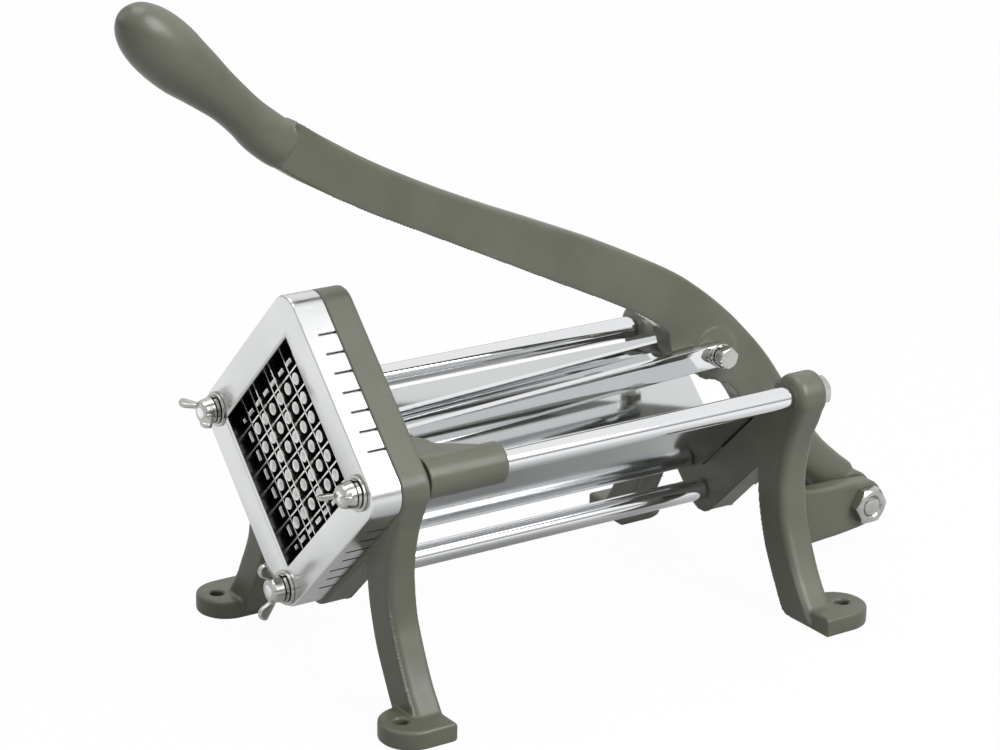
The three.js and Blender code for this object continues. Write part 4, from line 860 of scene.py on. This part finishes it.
def pins_shell():
    """Every pin at once. A pin is a round tapered bar with a faintly dished tip; at the grid's
    rim it is squared to a thin bar along the wall: each section is a superellipse with its own
    half widths and power. The grid is then turned by 45 degrees about y."""
    taper = np.array([
        (0.40, 5.42), (0.66, 5.36), (0.84, 5.24), (0.93, 5.2), (0.99, 5.34), (1.0, 5.6), (1.05, 12.0),
        (1.16, 30.2),
    ])
    sides = 28
    index = np.arange(CELLS)
    rim = (index == 0) | (index == CELLS - 1)
    middle = index - (CELLS - 1) / 2
    place = np.where(rim, np.sign(middle) * RIM_PIN_PLACE, middle * GRID_PITCH)
    column, row = (grid.ravel() for grid in np.meshgrid(index, index))
    at_rim = rim[column] | rim[row]
    length = np.where(at_rim, RIM_PIN_HALF_LENGTH, PIN_RADIUS)
    half_u = np.where(rim[column], RIM_PIN_HALF_THICKNESS, length)[:, None, None]
    half_v = np.where(rim[row], RIM_PIN_HALF_THICKNESS, length)[:, None, None]
    power = np.where(at_rim, 0.22, 1.0)[:, None, None]
    angle = np.linspace(0, 2 * np.pi, sides, endpoint=False)[None, None]
    cosine, sine = np.cos(angle), np.sin(angle)
    scale = np.where(at_rim[:, None], np.minimum(taper[:, 0], 1.0), taper[:, 0])[:, :, None]
    u = place[column][:, None, None] + half_u * scale * np.sign(cosine) * np.abs(cosine) ** power
    v = place[row][:, None, None] + half_v * scale * np.sign(sine) * np.abs(sine) ** power
    along = np.broadcast_to(taper[None, :, 1:], u.shape)
    points = np.stack([(u + v) / ROOT_TWO, along, BLOCK_CENTRE + (v - u) / ROOT_TWO], -1)
    one = np.array(grid_faces(len(taper), sides))
    count = len(taper) * sides
    starts = count * np.arange(CELLS**2)[:, None]
    faces = (one[None] + starts[:, :, None]).reshape(-1, 4).tolist()
    faces += (starts + np.arange(sides)[::-1]).tolist()
    faces += (starts + np.arange(sides) + count - sides).tolist()
    return points.reshape(-1, 3), faces


pin_base = slab(rounded_diamond(PLATE_HALF, 2.5, 8), 30, 35, axis=1, edge=0.3)
pins = body_mesh("pin_block", [pins_shell(), pin_base])
finish_piece(sharpen(pins, 25), PIN_METAL, "pusher", "machined_aluminium", "pin_plate")


def screw_shell(height):
    """A pan head: a short rounded profile turned about the screw."""
    head = 41.4
    return around((0, BLOCK_CENTRE + height), [
        (2.5, head - 4), (2.5, head), (4.5, head), (4.4, head + 1.0), (3.6, head + 2.0), (2.0, head + 2.7),
        (0.8, head + 2.8),
    ], 40)


for number, height in ((1, -24), (2, 24)):
    plated(f"pan_screw_{number}", [screw_shell(height)], 50, "pusher", f"pin_plate_screw_{number}")

# ------------------------------------------------------------------ Links
# Two polished flat bars, one each side of the lever, with round ends. Bolts on the lever
# and on the pusher's lug pass through them, over flat and spring washers.

LINK_FRONT = np.array([52.5, 106.2])
LINK_REAR = np.array([231.0, 115.5])
LINK_HALF = 5.7
LINK_FACES = (8.0, 12.0)
LINK_SLOPE = np.degrees(np.arctan2(*(LINK_REAR - LINK_FRONT)[::-1]))
LINK_STEEL = polished_steel("polished_link", (0.80, 0.81, 0.82), 0.05)


def link_shell(side):
    """A bar between two half circles, carried across its thickness with round edges. Points
    close to each half circle keep the flats' shading even."""
    lean = (LINK_REAR - LINK_FRONT) / np.linalg.norm(LINK_REAR - LINK_FRONT) * 0.4
    rear = arc(LINK_REAR, LINK_HALF, LINK_SLOPE - 90, LINK_SLOPE + 90, 32)
    front = arc(LINK_FRONT, LINK_HALF, LINK_SLOPE + 90, LINK_SLOPE + 270, 32)
    outline = np.vstack([
        rear, [rear[-1] - lean], [front[0] + lean], front, [front[-1] + lean], [rear[0] - lean],
    ])
    low, high = sorted(side * np.array(LINK_FACES))
    return slab(outline, low, high, axis=0, edge=0.35)


SIDES = {"right": 1, "left": -1}
for name, side in SIDES.items():
    bar = sharpen(body_mesh(f"flat_link_{name}", [link_shell(side)]), 20)
    finish_piece(bar, LINK_STEEL, f"link_{name}", "polished_steel", f"link_{name}")
    seat = side * (LINK_FACES[1] + 0.1)
    pivot = hex_shell(LINK_FRONT, 10, seat, seat + side * 3.4, 0)
    plated(f"link_pivot_{name}", [pivot], 25, f"link_{name}", f"link_front_pivot_{name}")
    low, high = sorted([side * 12.1, side * 13.3])
    washer = washer_shell(LINK_REAR, 3.3, 6.0, low, high, axis=0)
    plated(f"link_flat_washer_{name}", [washer], 50, "lever", f"link_washer_{name}")
    back = 13.4 if side < 0 else 14.9
    spring = spring_washer_shell(LINK_REAR, 3.3, 5.2, back, 1.5, axis=0, start=120)
    spring = (spring[0] * [side, 1, 1], spring[1])
    plated(f"link_spring_washer_{name}", [spring], 32, "lever", f"link_lock_washer_{name}")

HEAD_SEAT = 15.0
plated("link_bolt_formed", [
    hex_shell(LINK_REAR, 10, HEAD_SEAT, HEAD_SEAT + 3.8, 0, 15),
    around(LINK_REAR, [(3.0, HEAD_SEAT + 0.2), (3.0, -19.2), (2.2, -20.0)], 48, 0),
], 25, "lever", "link_bolt")
link_nut = hex_shell(LINK_REAR, 10, -HEAD_SEAT, -HEAD_SEAT - 3.8, 0, 0, 3.05)
plated("link_nut_formed", [link_nut], 25, "lever", "link_nut")

# ------------------------------------------------------------------ Lever
# One casting: a round grip with a shoulder, a flat curved bar with soft edges, a heel and
# boss for the link bolt, and a round tail that ends in the eye on the pivot bolt.

LEVER_SIZE = (396.3, 289.6)
LEVER_TOP = [
    [0.798, 0.804], [0.787, 0.792], [0.712, 0.731], [0.634, 0.677], [0.554, 0.628], [0.471, 0.581],
    [0.386, 0.531], [0.297, 0.471], [0.251, 0.431], [0.206, 0.382], [0.172, 0.337], [0.147, 0.3],
    [0.123, 0.2575], [0.074, 0.16],
]
LEVER_TAIL_FRONT = [
    [0.134, 0.128], [0.154, 0.166], [0.172, 0.2035], [0.1847, 0.23], [0.199, 0.252], [0.2135, 0.259],
    [0.24, 0.283],
]
LEVER_HEEL = [[0.24, 0.283], [0.264, 0.3], [0.286, 0.323], [0.293, 0.363]]
LEVER_BOTTOM = [
    [0.293, 0.363], [0.328, 0.397], [0.383, 0.436], [0.469, 0.492], [0.553, 0.547],
    [0.633, 0.599], [0.711, 0.65], [0.787, 0.7055], [0.823, 0.737],
]
GRIP = [
    [0.808, 0.7655, 0.76, 0.76], [0.82, 0.7755, 0.755, 0.84], [0.838, 0.795, 0.735, 0.9],
    [0.855, 0.817, 0.68, 0.92], [0.876, 0.844, 0.7, 0.92], [0.895, 0.866, 0.78, 0.92],
    [0.912, 0.886, 0.875, 0.92], [0.928, 0.904, 0.955, 0.92], [0.943, 0.923, 1, 0.92],
    [0.958, 0.942, 0.985, 0.92], [0.972, 0.96, 0.89, 0.93], [0.9825, 0.974, 0.72, 0.95],
    [0.989, 0.9825, 0.53, 0.97], [0.9935, 0.9885, 0.28, 1],
]
TAIL = [
    [0.1681, 0.2735, 0.8, 0.64], [0.1421, 0.2282, 0.87, 0.74], [0.1032, 0.1581, 0.833, 0.82],
    [0.0646, 0.0929, 0.818, 0.92], [0.0356, 0.0546, 0.834, 0.97], [0.0103, 0.0221, 0.92, 0.98],
]


def lever_points(shares):
    """Shares of the lever's reach and rise from its pivot, as y and z."""
    shares = np.array(shares, float)
    return np.stack([PIVOT[0] - shares[:, 0] * LEVER_SIZE[0], PIVOT[1] + shares[:, 1] * LEVER_SIZE[1]], 1)


def lofted(stations, height, width, squareness, count, sides=48):
    """Rounded rings along a line. A Catmull-Rom curve runs through the stations' places,
    heights and widths; each ring is a superellipse across the line's own direction."""
    s = np.array(stations, float)
    rows = np.hstack([lever_points(s), s[:, 2:3] * height, s[:, 3:4] * width])
    rows = curve_through(rows, count)
    heading = np.gradient(rows[:, :2], axis=0)
    heading /= np.linalg.norm(heading, axis=1, keepdims=True)
    angle = np.linspace(0, 2 * np.pi, sides, endpoint=False)
    cosine, sine = np.cos(angle), np.sin(angle)
    across = np.sign(cosine) * np.abs(cosine) ** squareness * rows[:, 3:4] / 2
    upright = np.sign(sine) * np.abs(sine) ** squareness * rows[:, 2:3] / 2
    y = rows[:, :1] - upright * heading[:, 1:2]
    z = rows[:, 1:2] + upright * heading[:, :1]
    points = np.stack([across, y, z], -1).reshape(-1, 3)
    ring = np.arange(sides)
    faces = grid_faces(count, sides) + [ring[::-1].tolist(), (ring + (count - 1) * sides).tolist()]
    return points, faces


bar_outline = np.vstack([
    curve_through(lever_points(LEVER_TOP), 140),
    curve_through(lever_points(LEVER_TAIL_FRONT), 40),
    curve_through(lever_points(LEVER_HEEL), 20)[1:],
    curve_through(lever_points(LEVER_BOTTOM), 110)[1:],
])
grip_stations = [[back, up, height, width * height] for back, up, height, width in GRIP]
lever = cast("lever_casting", [
    slab(bar_outline, -6.75, 6.75, axis=0, edge=2.4, steps=7),
    lofted(grip_stations, 28.0, 28.0, 1.0, 90),
    lofted(TAIL, 26.4, 19.4, 0.85, 50),
    around(PIVOT, [(12.0, -9.7), (13.0, -8.9), (13.0, 8.9), (12.0, 9.7)], 64, 0),
    around(LINK_REAR, [
        (11.6, -7.7), (12.6, -7.3), (13.3, -6.4), (13.3, 6.4), (12.6, 7.3), (11.6, 7.7),
    ], 64, 0),
], grain=0.8, rounds=4)
finish_piece(lever, ENAMEL, "lever", "cast_enamel", "lever")

# ------------------------------------------------------------------ Pivot bolt
# A hex bolt and nut through the clevis and the lever's eye. Forged steel, nickel plated;
# the nut's mouth is countersunk and the bolt's end is slightly domed.

plated("pivot_bolt_forged", [
    hex_shell(PIVOT, 17, -20.1, -26.3, 0),
    around(PIVOT, [(4.9, -20.3), (4.9, 25.0), (4.55, 25.6), (3.9, 25.9), (1.5, 26.1)], 64, 0),
], 25, "base", "pivot_bolt")
plated("pivot_nut_forged", [hex_shell(PIVOT, 17, 20.1, 25.9, 0, 0, 5.0)], 25, "base", "pivot_nut")

# ------------------------------------------------------------------ Studio
# A plain pale floor, a soft white surround, two large soft lamps and the photograph's view.

FLOOR_TONE = 0.42
FLOOR_FADE = (0.03, 0.36)


def flat_sheet(name, half, height):
    """A square floor."""
    mesh = bpy.data.meshes.new(name)
    corners = [(-half, -half, height), (half, -half, height), (half, half, height), (-half, half, height)]
    mesh.from_pydata(corners, [], [(0, 1, 2, 3)])
    made = bpy.data.objects.new(name, mesh)
    bpy.context.scene.collection.objects.link(made)
    return made


def floor_material():
    """White paper: the camera sees mostly its own white and a part of the soft shadow. Polished
    metal sees it grey beside the object and white further off."""
    material = bpy.data.materials.new("studio_floor")
    material.use_nodes = True
    nodes, links = material.node_tree.nodes, material.node_tree.links
    shader = nodes["Principled BSDF"]
    shader.inputs["Base Color"].default_value = (FLOOR_TONE, FLOOR_TONE, FLOOR_TONE, 1)
    shader.inputs["Roughness"].default_value = 0.9
    shader.inputs["Specular IOR Level"].default_value = 0.0
    white = nodes.new("ShaderNodeEmission")
    white.inputs["Strength"].default_value = 1.04
    path = nodes.new("ShaderNodeLightPath")
    to_camera = maths(nodes, links, "MULTIPLY", path.outputs["Is Camera Ray"], 0.93)
    where = nodes.new("ShaderNodeTexCoord")
    away = nodes.new("ShaderNodeVectorMath")
    away.operation = "LENGTH"
    links.new(where.outputs["Object"], away.inputs[0])
    bright = spread(nodes, links, away.outputs["Value"], *FLOOR_FADE)
    to_metal = maths(nodes, links, "MULTIPLY", path.outputs["Is Glossy Ray"], bright)
    mix = nodes.new("ShaderNodeMixShader")
    links.new(maths(nodes, links, "MAXIMUM", to_camera, to_metal), mix.inputs["Fac"])
    links.new(shader.outputs[0], mix.inputs[1])
    links.new(white.outputs[0], mix.inputs[2])
    links.new(mix.outputs[0], nodes["Material Output"].inputs["Surface"])
    return material


floor = flat_sheet("studio_floor", 12.0, 0.0)
floor.data.materials.append(floor_material())

world = bpy.data.worlds.new("studio")
bpy.context.scene.world = world
world.use_nodes = True
sky_nodes, sky_links = world.node_tree.nodes, world.node_tree.links
sky = sky_nodes["Background"]
sky.inputs["Strength"].default_value = 0.36
sky.inputs["Color"].default_value = (1, 1, 1, 1)
direction = sky_nodes.new("ShaderNodeTexCoord")
rise = sky_nodes.new("ShaderNodeSeparateXYZ")
sky_links.new(direction.outputs["Generated"], rise.inputs["Vector"])
height = spread(sky_nodes, sky_links, rise.outputs["Z"], -0.2, 0.8)
walls = sky_nodes.new("ShaderNodeBackground")
sky_links.new(ramp(sky_nodes, sky_links, height, [
    (0.14, grey(0.62)), (0.20, grey(0.34)), (0.32, grey(0.36)), (0.40, grey(0.82)), (0.56, grey(1.0)),
]), walls.inputs["Color"])
seen = sky_nodes.new("ShaderNodeBackground")
seen.inputs["Color"].default_value = (1, 1, 1, 1)
path = sky_nodes.new("ShaderNodeLightPath")
to_metal = sky_nodes.new("ShaderNodeMixShader")
to_camera = sky_nodes.new("ShaderNodeMixShader")
sky_links.new(path.outputs["Is Glossy Ray"], to_metal.inputs["Fac"])
sky_links.new(sky.outputs[0], to_metal.inputs[1])
sky_links.new(walls.outputs[0], to_metal.inputs[2])
sky_links.new(path.outputs["Is Camera Ray"], to_camera.inputs["Fac"])
sky_links.new(to_metal.outputs[0], to_camera.inputs[1])
sky_links.new(seen.outputs[0], to_camera.inputs[2])
sky_links.new(to_camera.outputs[0], sky_nodes["World Output"].inputs["Surface"])


def soft_lamp(name, place, target, size, power):
    """A square area lamp that faces a point."""
    data = bpy.data.lights.new(name, "AREA")
    data.shape = "SQUARE"
    data.size = size
    data.energy = power
    lamp = bpy.data.objects.new(name, data)
    lamp.location = place
    lamp.rotation_euler = (Vector(target) - Vector(place)).to_track_quat("-Z", "Y").to_euler()
    bpy.context.scene.collection.objects.link(lamp)


soft_lamp("key_lamp", (1.5, 0.5, 1.4), (0, 0, 0.12), 1.3, 30)
soft_lamp("top_lamp", (-0.3, -0.2, 1.9), (0, 0, 0.1), 1.2, 12)

AZIMUTH, ELEVATION, ROLL = np.radians([55.7613, 19.1990, 1.0724])
FOCAL_PIXELS = 3021.083
PHOTO_WIDTH = 1000
back = np.array([
    np.sin(AZIMUTH) * np.cos(ELEVATION), -np.cos(AZIMUTH) * np.cos(ELEVATION), np.sin(ELEVATION),
])
level = np.array([np.cos(AZIMUTH), np.sin(AZIMUTH), 0])
upward = np.cross(back, level)
right = level * np.cos(ROLL) + upward * np.sin(ROLL)
upward = upward * np.cos(ROLL) - level * np.sin(ROLL)
view = bpy.data.cameras.new("photo_view")
view.sensor_width = 36
view.lens = FOCAL_PIXELS * view.sensor_width / PHOTO_WIDTH
view.clip_start, view.clip_end = 0.05, 60
camera = bpy.data.objects.new("photo_view", view)
turn = np.eye(4)
turn[:3, 0], turn[:3, 1], turn[:3, 2] = right, upward, back
turn[:3, 3] = np.array([1074.12, -618.17, 575.65]) * MM + [0, BLOCK_FACE_Y, 0]
camera.matrix_world = Matrix(turn.tolist())
bpy.context.scene.collection.objects.link(camera)
bpy.context.scene.camera = camera
bpy.context.scene.view_settings.view_transform = "Standard"
